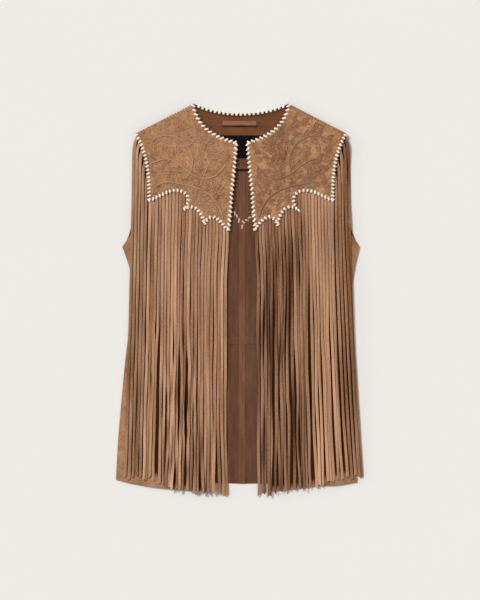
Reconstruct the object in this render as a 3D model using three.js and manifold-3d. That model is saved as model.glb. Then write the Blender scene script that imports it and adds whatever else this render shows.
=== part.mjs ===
// A sleeveless suede vest with long fringe, laid flat on its back, at its real size in millimetres.
// +Y points to the neck, +Z out of the chest, and the back lies on z = 0. "left" is the left of a
// viewer who looks down on the chest. The leather is a stack of thin walls: the back yoke, the back in
// four panels, the neck facing with its label and hanging loop, the two fronts, the fringe of each
// front on its narrow backing strip, and the scalloped front yokes on top.
import * as THREE from "three";
import { mergeVertices } from "three/addons/utils/BufferGeometryUtils.js";
import Module from "manifold-3d";

const wasm = await Module();
wasm.setup();

// Leather thicknesses and the gap that sewn pieces keep
const SUEDE = 1.2;
const STRIP = 1.0;
const SEAM_GAP = 0.3;
const SEAM_HALF_GAP = SEAM_GAP / 2;

// Edges shorter than this are welded where pieces are cut and joined, and the heights between which a
// trimming outline reaches through every layer
const WELD = 0.01;
const TRIM = { bottom: -5, top: 40 };

// Heights of the garment's landmarks along Y
const NECK_POINT = { x: 82.8, y: 344.2 };
const SHOULDER_TIP = { x: 183.8, y: 292 };
const NECK_CORNER_Y = 276.3;
const BACK_NECK_Y = 326.7;
const UNDERARM = { x: 207.6, y: 94 };
const YOKE_TIP = { x: 22.6, y: 120.8 };
const YOKE_CORNER = { x: 162.2, y: 173.3 };
const WAIST_Y = -76;
const BACK_HEM_Y = -320.3;
const BACK_STEP_TOP_Y = 118;
const BACK_YOKE_TIP_Y = 126.8;

// The centre back seam and the middle of the front opening lie a little to the right of the middle
const CENTRE_X = 1.75;

// Half the width of the front opening, from the neck corner down to the yoke's tip
const FRONT_OPENING = [
  { y: NECK_CORNER_Y, half: 8.2 },
  { y: 223, half: 12.9 },
  { y: 191, half: 16.4 },
  { y: 155, half: 18.9 },
  { y: YOKE_TIP.y, half: YOKE_TIP.x },
];
const FRONT_EDGE_AT_HEM = { x: 50, y: -334 };

// Side seams, from the underarm down to the hem's corner, the front hem, and how the fringe hangs, for
// each side. A parting is a gap between clumps of strands that opens from a share of the fall down.
const SIDES = {
  left: {
    sign: -1,
    seam: [
      { y: 48, x: 192.5 },
      { y: 15, x: 190 },
      { y: -50, x: 196 },
      { y: -110, x: 203 },
      { y: -174, x: 209 },
      { y: -244, x: 215 },
      { y: -313.4, x: 218.7 },
    ],
    frontHem: [
      { x: 194, y: -319.4 },
      { x: 150.5, y: -326.4 },
      { x: 89, y: -332.5 },
    ],
    fringeEnds: [
      { x: 25, y: -340 },
      { x: 78, y: -339 },
      { x: 90, y: -333 },
      { x: 115, y: -331 },
      { x: 135, y: -323 },
      { x: 148, y: -311 },
      { x: 200, y: -310 },
    ],
    fan: 10,
    fanPower: 1.3,
    clump: 1.3,
    clumpPhase: 0.6,
    wander: 1.3,
    lift: 0.6,
    partings: [
      { x: 139, gap: 5, opens: 0.35 },
      { x: 103, gap: 3.5, opens: 0.4 },
      { x: 91, gap: 3, opens: 0.45 },
      { x: 70, gap: 2, opens: 0.55 },
    ],
  },
  right: {
    sign: 1,
    seam: [
      { y: 59, x: 199.5 },
      { y: 19, x: 194 },
      { y: -30, x: 190.5 },
      { y: -90, x: 192 },
      { y: -170, x: 196 },
      { y: -250, x: 200 },
      { y: -318, x: 203 },
    ],
    frontHem: [
      { x: 165, y: -323 },
      { x: 130, y: -324.5 },
      { x: 85, y: -330 },
    ],
    fringeEnds: [
      { x: 27, y: -341 },
      { x: 48, y: -339 },
      { x: 60, y: -334 },
      { x: 95, y: -330 },
      { x: 122, y: -326 },
      { x: 150, y: -316 },
      { x: 185, y: -309 },
      { x: 215, y: -306 },
    ],
    fan: 19.5,
    fanPower: 2,
    clump: 1.9,
    clumpPhase: 2.1,
    wander: 0.7,
    lift: 1.6,
    partings: [
      { x: 53, gap: 5, opens: 0.15 },
      { x: 80, gap: 3.5, opens: 0.25 },
      { x: 88, gap: 4, opens: 0.3 },
      { x: 115, gap: 5, opens: 0.2 },
      { x: 130, gap: 2, opens: 0.4 },
      { x: 150, gap: 3.5, opens: 0.3 },
    ],
  },
};

// Fringe strands: what one measures, how they are spaced, and where those of the armhole start
const STRAND = { width: 5.3, thickness: 1.1, rootThickness: 0.8, pitch: 5.8, rootDepth: 8, strandGap: 0.5 };
const YOKE_STRANDS = 24;
const FIRST_STRAND_X = 25.6;
const LAST_STRAND_X = 188;
const ARMHOLE_STRANDS = [
  { rootY: 212, hangX: 166 },
  { rootY: 231, hangX: 171.5 },
  { rootY: 251, hangX: 177 },
  { rootY: 269, hangX: 182.5 },
  { rootY: 284, hangX: LAST_STRAND_X },
];

// How strands hang: the first ones drift away from the opening, those of the armhole swing from their
// roots to their lines, neighbours draw together in clumps, each but the outermost strays and turns on
// its own, and every other strand lies on the others
const HANG = {
  drift: 4,
  driftEnd: 0.2,
  lean: 3,
  rootInset: 4.5,
  swing: 13,
  swungRow: 0.6,
  fanPower: 1.6,
  clumpLength: 48,
  swayTurns: 7,
  partingReach: 14,
  partingOpensOver: 0.25,
  stray: 0.9,
  steadyPower: 4,
  strayLength: { middle: 34, spread: 8 },
  turnLength: { middle: 24, spread: 7 },
  phaseSpread: 3.1,
  lowerRoll: 0.14,
  upperRoll: 0.3,
  endRoll: 0.2,
  loosenOver: 70,
  freeBelowYoke: 8,
  freeBelowArmhole: 40,
  endSpread: 3,
};

// Which repeatable numbers a strand takes for its straying and its turning
const STRAY_SALT = 40;
const TURN_SALT = 42;

// How the fronts lie on the back: they rise from the side seams, fold a little lengthwise, and step up
// over the back yoke's edge, the facing and the label
const LAY = {
  sideRamp: 45,
  belly: 1.5,
  folds: [
    { height: 0.45, wave: 13, phase: 0 },
    { height: 0.25, wave: 31, phase: 1 },
  ],
  facingTopY: 205,
  labelSide: { from: 100, to: 62 },
  labelEdge: { from: 205, to: 232 },
  shoulder: { from: 6, to: 40 },
  armhole: { from: 130, to: 158 },
};

// How far the front panel's edges stay inside the yoke's, and the strip's inside both
const TUCK = { panel: 1, strip: 1.5, armhole: 2 };
const STRIP_DEPTH = 12;
const STRIP_REACH = 8;
const STRIP_STEPS = 32;

// Neck facing, label and hanging loop
const FACING = { bottomY: 226.6, halfBottom: 62, sideX: 122, thickness: 1.0 };
const LABEL = { x: -3, y: 268.6, width: 81.5, height: 40, thickness: 1.0 };
const LOOP = { x: -2.4, y: 309.8, length: 59, width: 8, rise: 2.4, tab: 6 };

// Seam allowances that are glued down inside the back
const ALLOWANCE = { centre: 5.5, waist: 12, height: 0.8, waistEndX: 150 };

// Levels at which the flat layers lie
const BACK_LIFT = SUEDE + SEAM_GAP;
const FACING_BOTTOM = BACK_LIFT + SUEDE + SEAM_GAP;
const FACING_TOP = FACING_BOTTOM + FACING.thickness;
const LABEL_TOP = FACING_TOP + SEAM_GAP + LABEL.thickness;

// The grid on which every curved layer is draped, so that one layer is the next one moved out
const GRID_X = steps(-240, 240, 20);
const GRID_Y = [...steps(-356, 64, 60), UNDERARM.y, ...steps(BACK_STEP_TOP_Y, 352, 26)];

// Numbers from low to high by a fixed step
function steps(low, high, step) {
  const count = Math.round((high - low) / step);
  return Array.from({ length: count + 1 }, (_, k) => low + k * step);
}

// 0 below low, 1 above high, and smooth between
function smooth(value, low, high) {
  const t = Math.min(1, Math.max(0, (value - low) / (high - low)));
  return t * t * (3 - 2 * t);
}

// A repeatable number from -1 to 1 for a strand and a purpose
function jitter(index, salt) {
  const s = Math.sin(index * 12.9898 + salt * 78.233) * 43758.5453;
  return 2 * (s - Math.floor(s)) - 1;
}

// Straight-line interpolation in a table of rows, by one column's value
function lookUp(table, from, to, value) {
  const rows = [...table].sort((a, b) => a[from] - b[from]);
  if (value <= rows[0][from]) return rows[0][to];
  for (let k = 1; k < rows.length; k++) {
    const [a, b] = [rows[k - 1], rows[k]];
    if (value <= b[from]) return a[to] + ((value - a[from]) / (b[from] - a[from])) * (b[to] - a[to]);
  }
  return rows[rows.length - 1][to];
}

// Points along a cubic curve given by its end points and handles
function cubic(points, divisions) {
  const [a, b, c, d] = points.map(([x, y]) => new THREE.Vector2(x, y));
  return new THREE.CubicBezierCurve(a, b, c, d).getPoints(divisions);
}

// Points along a smooth curve through a table's rows
function spline(rows, divisions) {
  return new THREE.SplineCurve(rows.map((r) => new THREE.Vector2(r.x, r.y))).getPoints(divisions);
}

// The yoke's lower edge from the front opening to the armhole: three arches that meet in points
const ARCH_STEPS = 7;
function scallop() {
  return [
    ...cubic([[YOKE_TIP.x, YOKE_TIP.y], [38, 140], [52, 158], [63.9, 130.4]], ARCH_STEPS),
    ...cubic([[63.9, 130.4], [72, 158], [80, 170], [102, 156.5]], ARCH_STEPS).slice(1),
    ...cubic([[102, 156.5], [84, 178], [96, 192], [115.5, 190.8]], ARCH_STEPS).slice(1),
    ...cubic([[115.5, 190.8], [130, 190.5], [145, 177], [YOKE_CORNER.x, YOKE_CORNER.y]], 5).slice(1),
  ];
}

// The front yoke's armhole edge from its lower corner up to the shoulder
function yokeArmhole() {
  return cubic([[YOKE_CORNER.x, YOKE_CORNER.y], [160.5, 210], [163, 250], [183, 288]], 7);
}

// The front panel's armhole below the yoke, from the yoke's corner down to the underarm
function frontArmhole() {
  const corner = [YOKE_CORNER.x - TUCK.panel, YOKE_CORNER.y];
  return cubic([corner, [162, 138], [178, 112], [UNDERARM.x, UNDERARM.y]], 5);
}

function backArmhole() {
  return cubic([[SHOULDER_TIP.x, SHOULDER_TIP.y], [183, 215], [183, 118], [UNDERARM.x, UNDERARM.y]], 7);
}

function frontNeckline(side) {
  const corner = CENTRE_X * side + FRONT_OPENING[0].half;
  return cubic([[NECK_POINT.x, NECK_POINT.y], [76, 305], [50, 287], [corner, NECK_CORNER_Y]], 8);
}

function backNeckline() {
  return cubic([[NECK_POINT.x, NECK_POINT.y], [60, 333], [30, BACK_NECK_Y], [0, BACK_NECK_Y]], 6);
}

function sideSeam(side) {
  return spline([UNDERARM, ...SIDES[side].seam], 9);
}

// The front opening's edge from the neck corner down to the yoke's tip, in outward coordinates
function openingEdge(sign) {
  return FRONT_OPENING.map((row) => new THREE.Vector2(row.half + CENTRE_X * sign, row.y));
}

// Highest and lowest height of the scallop at a distance from the middle
const scallopPoints = scallop();
function scallopAt(x) {
  const heights = [];
  for (let k = 1; k < scallopPoints.length; k++) {
    const [a, b] = [scallopPoints[k - 1], scallopPoints[k]];
    if (Math.min(a.x, b.x) <= x && x <= Math.max(a.x, b.x) && a.x !== b.x) {
      heights.push(a.y + ((x - a.x) / (b.x - a.x)) * (b.y - a.y));
    }
  }
  if (!heights.length) return x < YOKE_TIP.x ? [YOKE_TIP.y, YOKE_TIP.y] : [YOKE_CORNER.y, YOKE_CORNER.y];
  return [Math.max(...heights), Math.min(...heights)];
}
const scallopTop = (x) => scallopAt(x)[0];
const scallopLow = (x) => scallopAt(x)[1];

// Height of the underside of the fronts above the surface
function frontLift(x, y) {
  const out = Math.abs(x);
  const seam = [UNDERARM, ...SIDES[x < 0 ? "left" : "right"].seam];
  const inner = smooth(lookUp(seam, "y", "x", y) - out, 0, LAY.sideRamp);
  if (y <= UNDERARM.y) {
    const folds = LAY.folds.map((f) => f.height * Math.sin(x / f.wave + f.phase));
    return SUEDE + SEAM_GAP + (LAY.belly + folds[0] + folds[1]) * inner;
  }
  const chest = BACK_LIFT + SUEDE + SEAM_GAP;
  const overFacing = smooth(y, BACK_STEP_TOP_Y, LAY.facingTopY) * (FACING_TOP + SEAM_GAP - chest);
  const { labelSide, labelEdge } = LAY;
  const nearLabel = smooth(out, labelSide.from, labelSide.to) * smooth(y, labelEdge.from, labelEdge.to);
  return chest + overFacing + nearLabel * (LABEL_TOP - FACING_TOP);
}

// Distance of a point below the shoulder seam
function belowShoulder(x, y) {
  const dx = SHOULDER_TIP.x - NECK_POINT.x;
  const dy = SHOULDER_TIP.y - NECK_POINT.y;
  return (-(y - NECK_POINT.y) * dx + (Math.abs(x) - NECK_POINT.x) * dy) / Math.hypot(dx, dy);
}

const backLift = (x, y) => BACK_LIFT * smooth(y, UNDERARM.y, BACK_STEP_TOP_Y);
const stripLift = (x, y) => frontLift(x, y) + SUEDE + SEAM_GAP;
function yokeLift(x, y) {
  const fromShoulder = smooth(belowShoulder(x, y), LAY.shoulder.from, LAY.shoulder.to);
  const nearArmhole = smooth(Math.abs(x), LAY.armhole.from, LAY.armhole.to);
  const overStrip = Math.max(fromShoulder, nearArmhole);
  return frontLift(x, y) + SUEDE + SEAM_GAP + (STRIP + SEAM_GAP) * overStrip;
}

// The front panel's underside as it is built, flat within each of the grid's triangles
function builtFrontLift(x, y) {
  const i = Math.min(GRID_X.length - 2, Math.max(0, GRID_X.findLastIndex((g) => g <= x)));
  const j = Math.min(GRID_Y.length - 2, Math.max(0, GRID_Y.findLastIndex((g) => g <= y)));
  const u = (x - GRID_X[i]) / (GRID_X[i + 1] - GRID_X[i]);
  const v = (y - GRID_Y[j]) / (GRID_Y[j + 1] - GRID_Y[j]);
  const near = frontLift(GRID_X[i], GRID_Y[j]);
  const far = frontLift(GRID_X[i + 1], GRID_Y[j + 1]);
  if (u > v) {
    const beside = frontLift(GRID_X[i + 1], GRID_Y[j]);
    return near + u * (beside - near) + v * (far - beside);
  }
  const above = frontLift(GRID_X[i], GRID_Y[j + 1]);
  return near + v * (above - near) + u * (far - above);
}

function solidOf(geometry) {
  const bare = geometry.clone();
  bare.deleteAttribute("normal");
  bare.deleteAttribute("uv");
  const merged = mergeVertices(bare, 1e-4);
  return new wasm.Manifold(
    new wasm.Mesh({
      numProp: 3,
      tolerance: WELD,
      vertProperties: new Float32Array(merged.getAttribute("position").array),
      triVerts: new Uint32Array(merged.index.array),
    }),
  );
}

function geometryOf(solid) {
  const mesh = solid.getMesh();
  const geometry = new THREE.BufferGeometry();
  geometry.setAttribute("position", new THREE.BufferAttribute(new Float32Array(mesh.vertProperties), 3));
  geometry.setIndex(new THREE.BufferAttribute(new Uint32Array(mesh.triVerts), 1));
  geometry.computeVertexNormals();
  return geometry;
}

// A flat plate with the given outline, between two heights
function plate(outline, bottom, top) {
  const geometry = new THREE.ExtrudeGeometry(new THREE.Shape(outline), {
    depth: top - bottom,
    bevelEnabled: false,
  });
  return geometry.translate(0, 0, bottom);
}

// A draped wall of one thickness over the whole grid
function drapedWall(lift, thickness) {
  const columns = GRID_X.length;
  const rows = GRID_Y.length;
  const positions = [];
  for (const extra of [0, thickness]) {
    for (const y of GRID_Y) {
      for (const x of GRID_X) positions.push(x, y, lift(x, y) + extra);
    }
  }
  const top = columns * rows;
  const at = (i, j) => j * columns + i;
  const index = [];
  for (let j = 0; j < rows - 1; j++) {
    for (let i = 0; i < columns - 1; i++) {
      const [a, b, c, d] = [at(i, j), at(i + 1, j), at(i + 1, j + 1), at(i, j + 1)];
      index.push(top + a, top + b, top + c, top + a, top + c, top + d);
      index.push(a, c, b, a, d, c);
    }
  }
  const rim = [
    ...steps(0, columns - 2, 1).map((i) => [at(i, 0), at(i + 1, 0)]),
    ...steps(0, rows - 2, 1).map((j) => [at(columns - 1, j), at(columns - 1, j + 1)]),
    ...steps(0, columns - 2, 1).map((i) => [at(i + 1, rows - 1), at(i, rows - 1)]),
    ...steps(0, rows - 2, 1).map((j) => [at(0, j + 1), at(0, j)]),
  ];
  for (const [a, b] of rim) index.push(a, b, top + b, a, top + b, top + a);
  const geometry = new THREE.BufferGeometry();
  geometry.setAttribute("position", new THREE.Float32BufferAttribute(positions, 3));
  geometry.setIndex(index);
  return geometry;
}

// A draped wall trimmed to an outline
function trimmedWall(outline, lift, thickness) {
  const wall = solidOf(drapedWall(lift, thickness));
  return wall.intersect(solidOf(plate(outline, TRIM.bottom, TRIM.top)));
}

const mirrored = (points, sign) => points.map((p) => new THREE.Vector2(sign * p.x, p.y));

const BACK_MATERIAL = leather("back suede", 0x6e4a36, 0.95);
const FRONT_MATERIAL = leather("front suede", 0xa57857, 0.93);
const LABEL_MATERIAL = leather("woven label", 0x191010, 0.8);

function leather(name, color, roughness) {
  return new THREE.MeshStandardMaterial({ name, color, roughness, metalness: 0 });
}

function node(name, geometry, material) {
  const mesh = new THREE.Mesh(geometry, material);
  mesh.name = name;
  return mesh;
}

// Half of the back above or below the waist seam, with its glued seam allowances
function backPanel(side, upper) {
  const { sign } = SIDES[side];
  const seamX = sign * CENTRE_X + SEAM_HALF_GAP;
  const seam = sideSeam(side);
  const waistX = lookUp(seam, "y", "x", WAIST_Y);
  const clearOfWaist = 3;
  const neck = backNeckline().filter((p) => p.x > seamX);
  const outline = upper
    ? [
        new THREE.Vector2(seamX, WAIST_Y + SEAM_HALF_GAP),
        new THREE.Vector2(waistX, WAIST_Y + SEAM_HALF_GAP),
        ...seam.filter((p) => p.y > WAIST_Y + clearOfWaist && p.y < UNDERARM.y).reverse(),
        ...backArmhole().reverse(),
        ...neck,
        new THREE.Vector2(seamX, BACK_NECK_Y),
      ]
    : [
        new THREE.Vector2(seamX, BACK_HEM_Y),
        ...seam.filter((p) => p.y < WAIST_Y - clearOfWaist).reverse(),
        new THREE.Vector2(waistX, WAIST_Y - SEAM_HALF_GAP),
        new THREE.Vector2(seamX, WAIST_Y - SEAM_HALF_GAP),
      ];
  let panel = trimmedWall(mirrored(outline, sign), backLift, SUEDE);
  const [bottom, top] = upper
    ? [WAIST_Y + SEAM_HALF_GAP, FACING.bottomY - 2 * TUCK.panel]
    : [BACK_HEM_Y, WAIST_Y - SEAM_HALF_GAP];
  const centre = [
    [seamX, bottom],
    [seamX + ALLOWANCE.centre, bottom],
    [seamX + ALLOWANCE.centre, top],
    [seamX, top],
  ];
  panel = panel.add(allowance(centre, sign));
  if (!upper) return panel;
  const waist = [
    [seamX, bottom],
    [ALLOWANCE.waistEndX, bottom],
    [ALLOWANCE.waistEndX, bottom + ALLOWANCE.waist],
    [seamX, bottom + ALLOWANCE.waist],
  ];
  return panel.add(allowance(waist, sign));
}

// A glued seam allowance: a low strip that follows the back's inner face
function allowance(corners, sign) {
  const outline = corners.map(([x, y]) => new THREE.Vector2(sign * x, y));
  const half = SUEDE / 2;
  return trimmedWall(outline, (x, y) => backLift(x, y) + half, half + ALLOWANCE.height);
}

// The back yoke has the front yoke's scallop, stretched so that both halves meet in a steeper point
function backYoke() {
  const stretch = SHOULDER_TIP.x / (YOKE_CORNER.x - YOKE_TIP.x);
  const wide = (p) => new THREE.Vector2((p.x - YOKE_TIP.x) * stretch, p.y);
  const archEnd = wide(scallopPoints[ARCH_STEPS]);
  const half = [
    ...cubic([[0, BACK_YOKE_TIP_Y], [12, 146], [38, 160], [archEnd.x, archEnd.y]], ARCH_STEPS).slice(1),
    ...scallopPoints.slice(ARCH_STEPS + 1).map(wide),
    ...backArmhole().filter((p) => p.y > YOKE_CORNER.y + STRIP_DEPTH).reverse(),
    ...backNeckline().slice(0, -1),
  ];
  const outline = [
    new THREE.Vector2(0, BACK_YOKE_TIP_Y),
    ...half,
    new THREE.Vector2(0, BACK_NECK_Y),
    ...mirrored(half, -1).reverse(),
  ];
  return plate(outline, 0, SUEDE);
}

function neckFacing() {
  const half = [
    new THREE.Vector2(FACING.halfBottom, FACING.bottomY),
    ...cubic([[FACING.halfBottom, FACING.bottomY], [95, 232], [118, 270], [FACING.sideX, 318]], 5).slice(1),
    ...backNeckline().slice(0, -1).map((p) => new THREE.Vector2(p.x - TUCK.panel, p.y - TUCK.panel)),
  ];
  const outline = [
    ...half,
    new THREE.Vector2(0, BACK_NECK_Y - TUCK.panel),
    ...mirrored(half, -1).reverse(),
  ];
  return plate(outline, FACING_BOTTOM, FACING_TOP);
}

function neckLabel() {
  const bottom = FACING_TOP + SEAM_GAP;
  return new THREE.BoxGeometry(LABEL.width, LABEL.height, LABEL.thickness).translate(
    LABEL.x,
    LABEL.y,
    bottom + LABEL.thickness / 2,
  );
}

// A strip sewn down at both ends and bowed up between them
function hangingLoop() {
  const half = LOOP.length / 2;
  const sections = 10;
  const bow = (x) => LOOP.rise * smooth(half - Math.abs(x), LOOP.tab, half);
  const xs = steps(-half, half, LOOP.length / sections);
  const profile = [
    ...xs.map((x) => new THREE.Vector2(x, bow(x))),
    ...[...xs].reverse().map((x) => new THREE.Vector2(x, bow(x) + STRIP)),
  ];
  const geometry = new THREE.ExtrudeGeometry(new THREE.Shape(profile), {
    depth: LOOP.width,
    bevelEnabled: false,
  });
  return geometry
    .rotateX(Math.PI / 2)
    .translate(LOOP.x, LOOP.y + LOOP.width / 2, FACING_TOP + SEAM_GAP);
}

// A front body panel, under the fringe and the yoke
function frontPanel(side) {
  const { sign, frontHem } = SIDES[side];
  const seam = sideSeam(side);
  const hemCorner = seam[seam.length - 1];
  const outline = [
    new THREE.Vector2(FRONT_EDGE_AT_HEM.x, FRONT_EDGE_AT_HEM.y),
    ...spline([...frontHem].reverse().concat([hemCorner]), 5),
    ...seam.slice(0, -1).reverse(),
    ...frontArmhole().slice(1, -1).reverse(),
    ...yokeArmhole().map((p) => new THREE.Vector2(p.x - TUCK.panel, p.y)),
    new THREE.Vector2(SHOULDER_TIP.x - TUCK.panel, SHOULDER_TIP.y),
    ...frontNeckline(sign).slice(0, -1).map((p) => new THREE.Vector2(p.x + TUCK.panel, p.y - TUCK.panel)),
    ...openingEdge(sign).map((p) => new THREE.Vector2(p.x + TUCK.panel, p.y - TUCK.panel)),
  ];
  return trimmedWall(mirrored(outline, sign), frontLift, SUEDE);
}

// A front yoke: shoulder, neckline, front edge, scallop and armhole
function frontYoke(side) {
  const { sign } = SIDES[side];
  const tip = new THREE.Vector2(YOKE_TIP.x + CENTRE_X * sign, YOKE_TIP.y);
  const outline = [
    tip,
    ...scallopPoints.slice(1),
    ...yokeArmhole().slice(1),
    new THREE.Vector2(SHOULDER_TIP.x, SHOULDER_TIP.y),
    ...frontNeckline(sign),
    ...openingEdge(sign).slice(1, -1),
  ];
  return trimmedWall(mirrored(outline, sign), yokeLift, SUEDE);
}

// The narrow strip under the yoke's scallop and armhole from which the strands are cut
function backingStrip(sign) {
  const low = YOKE_TIP.x + 2 * TUCK.strip;
  const high = YOKE_CORNER.x - TUCK.strip;
  const xs = steps(low, high, (high - low) / STRIP_STEPS);
  const highest = (x) => Math.max(...[-1, -0.5, 0, 0.5, 1].map((d) => scallopTop(x + d * STRIP_REACH)));
  const inner = xs.filter((x) => x < YOKE_CORNER.x - STRIP_DEPTH - TUCK.armhole).reverse();
  const armhole = yokeArmhole().slice(1);
  const outline = [
    ...xs.map((x) => new THREE.Vector2(x, scallopTop(x) + TUCK.strip)),
    ...armhole.map((p) => new THREE.Vector2(p.x - TUCK.armhole, p.y)),
    ...[...armhole].reverse().map((p) => new THREE.Vector2(p.x - TUCK.armhole - STRIP_DEPTH, p.y)),
    ...inner.map((x) => new THREE.Vector2(x, highest(x) + STRIP_DEPTH)),
  ];
  return trimmedWall(mirrored(outline, sign), stripLift, STRIP);
}

// Where a strand starts, hangs and ends, and how it lies
function strandPlan(side, index) {
  const { sign, fringeEnds } = SIDES[side];
  const armhole = index >= YOKE_STRANDS ? ARMHOLE_STRANDS[index - YOKE_STRANDS] : null;
  const hangX = armhole ? armhole.hangX : FIRST_STRAND_X + STRAND.pitch * index;
  const half = STRAND.width / 2;
  const edges = [hangX - half, hangX, hangX + half];
  const rootY = armhole ? armhole.rootY : Math.max(...edges.map(scallopTop)) + STRAND.rootDepth;
  const rootX = armhole ? lookUp(yokeArmhole(), "y", "x", armhole.rootY) - HANG.rootInset : hangX;
  const yokeEdge = Math.min(...edges.map(scallopLow), rootY);
  const freeY = armhole ? rootY - HANG.freeBelowArmhole : yokeEdge - HANG.freeBelowYoke;
  const endY = lookUp(fringeEnds, "x", "y", hangX) + HANG.endSpread * jitter(index, sign + 3);
  return { side, sign, index, hangX, rootX, rootY, freeY, endY, upper: index % 2 === 1 };
}

// How far the partings push a strand aside
function parted(side, hangX, fall) {
  const pushes = SIDES[side].partings.map(({ x, gap, opens }) => {
    const away = hangX - x;
    const opened = smooth(fall, opens, opens + HANG.partingOpensOver);
    return Math.sign(away) * (gap / 2) * Math.exp(-Math.abs(away) / HANG.partingReach) * opened;
  });
  return pushes.reduce((sum, push) => sum + push, 0);
}

// A strand's own slow wave along Y, with a length and phase of its own
function ownWave(index, salt, length, y) {
  const own = length.middle + length.spread * jitter(index, salt);
  return Math.sin(y / own + HANG.phaseSpread * jitter(index, salt + 1));
}

// A strand's middle at a height, and how it is rolled and lifted there
function strandAt(plan, y) {
  const { side, sign, index, hangX, rootX, rootY, freeY, endY } = plan;
  const { fan, fanPower, clump, clumpPhase, wander, lift } = SIDES[side];
  const fall = Math.min(1, Math.max(0, (freeY - y) / (freeY - endY)));
  const outward = (hangX - FIRST_STRAND_X) / (LAST_STRAND_X - FIRST_STRAND_X);
  const drift = HANG.drift * (1 - outward) * smooth(fall, 0, HANG.driftEnd);
  const spread = outward * HANG.lean * fall + fan * outward ** HANG.fanPower * fall ** fanPower;
  const phase = (2 * Math.PI * hangX) / HANG.clumpLength + clumpPhase + fall;
  const bunch = clump * fall * Math.sin(phase);
  const sway = wander * fall * Math.sin(HANG.swayTurns * fall + Math.PI * jitter(index, 5));
  const swing = (hangX - rootX) * Math.exp(-Math.max(0, rootY - y) / HANG.swing);
  const stray = HANG.stray * fall * ownWave(index, STRAY_SALT + sign, HANG.strayLength, y);
  const steady = 1 - outward ** HANG.steadyPower;
  const aside = drift + spread + bunch + (sway + stray) * steady + parted(side, hangX, fall);
  const x = sign * (hangX - swing + aside) + CENTRE_X * (1 - outward);
  const free = smooth(freeY - y, 0, HANG.loosenOver);
  const mostRoll = plan.upper ? HANG.upperRoll + HANG.endRoll * fall : HANG.lowerRoll;
  const roll = free * mostRoll * ownWave(index, TURN_SALT + sign, HANG.turnLength, y);
  return { x, roll, free, rise: plan.upper ? free * lift * fall : 0 };
}

// Height of a strand's middle: two levels, so that neighbours can lie over each other
function strandHeight(plan, at, y) {
  const { width, thickness, strandGap } = STRAND;
  const reach = (roll) => (Math.abs(Math.sin(roll)) * width + Math.cos(roll) * thickness) / 2;
  const panel = builtFrontLift(at.x, y) + SUEDE;
  const flat = panel + SEAM_GAP + STRIP / 2;
  const below = plan.upper ? 2 * reach(HANG.lowerRoll) + strandGap : 0;
  const loose = panel + strandGap + below + reach(at.roll) + at.rise;
  return flat + at.free * (loose - flat);
}

// One strand of four sides, with a section at each row of the grid that it crosses
function strand(plan) {
  const shortest = STRAND.width;
  const rows = GRID_Y.filter((y) => y < plan.rootY - shortest && y > plan.endY + 2 * shortest).reverse();
  const swung = plan.index >= YOKE_STRANDS ? [plan.rootY - HANG.swing * HANG.swungRow] : [];
  const clearRows = rows.filter((y) => !swung.length || y < swung[0] - STRAND.width / 2);
  const ys = [plan.rootY, ...swung, ...clearRows, plan.endY];
  const positions = [];
  ys.forEach((y, k) => {
    const at = strandAt(plan, y);
    const [before, after] = [ys[Math.max(0, k - 1)], ys[Math.min(ys.length - 1, k + 1)]];
    const aside = strandAt(plan, after).x - strandAt(plan, before).x;
    const run = new THREE.Vector2(aside, after - before).normalize();
    const [sin, cos] = [Math.sin(at.roll), Math.cos(at.roll)];
    const across = new THREE.Vector3(-run.y * cos, run.x * cos, sin);
    const out = new THREE.Vector3(run.y * sin, -run.x * sin, cos);
    const thickness = STRAND.rootThickness + (STRAND.thickness - STRAND.rootThickness) * at.free;
    const middle = new THREE.Vector3(at.x, y, strandHeight(plan, at, y));
    for (const [w, t] of [[-1, -1], [1, -1], [1, 1], [-1, 1]]) {
      const corner = middle
        .clone()
        .addScaledVector(across, (w * STRAND.width) / 2)
        .addScaledVector(out, (t * thickness) / 2);
      positions.push(corner.x, corner.y, corner.z);
    }
  });
  const index = [0, 2, 1, 0, 3, 2];
  for (let k = 0; k < ys.length - 1; k++) {
    for (let c = 0; c < 4; c++) {
      const [a, b] = [4 * k + c, 4 * k + ((c + 1) % 4)];
      index.push(a, b, b + 4, a, b + 4, a + 4);
    }
  }
  const last = 4 * (ys.length - 1);
  index.push(last, last + 1, last + 2, last, last + 2, last + 3);
  const geometry = new THREE.BufferGeometry();
  geometry.setAttribute("position", new THREE.Float32BufferAttribute(positions, 3));
  geometry.setIndex(index);
  return geometry;
}

function fringe(side) {
  let solid = backingStrip(SIDES[side].sign);
  const count = YOKE_STRANDS + ARMHOLE_STRANDS.length;
  for (let index = 0; index < count; index++) {
    solid = solid.add(solidOf(strand(strandPlan(side, index))));
  }
  return solid;
}

const vest = new THREE.Group();
vest.add(node("back_yoke", backYoke(), FRONT_MATERIAL));
for (const side of Object.keys(SIDES)) {
  vest.add(node(`back_upper_${side}`, geometryOf(backPanel(side, true)), BACK_MATERIAL));
  vest.add(node(`back_lower_${side}`, geometryOf(backPanel(side, false)), BACK_MATERIAL));
}
vest.add(node("neck_facing", neckFacing(), BACK_MATERIAL));
vest.add(node("neck_label", neckLabel(), LABEL_MATERIAL));
vest.add(node("hanging_loop", hangingLoop(), BACK_MATERIAL));
for (const side of Object.keys(SIDES)) {
  vest.add(node(`front_${side}`, geometryOf(frontPanel(side)), FRONT_MATERIAL));
  vest.add(node(`fringe_${side}`, geometryOf(fringe(side)), FRONT_MATERIAL));
  vest.add(node(`yoke_${side}`, geometryOf(frontYoke(side)), FRONT_MATERIAL));
}

// The origin is under the middle of the vest's box, on the surface that it lies on
const box = new THREE.Box3().setFromObject(vest);
const middle = box.getCenter(new THREE.Vector3());
vest.position.set(-middle.x, -middle.y, -box.min.z);

export default vest;
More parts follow.
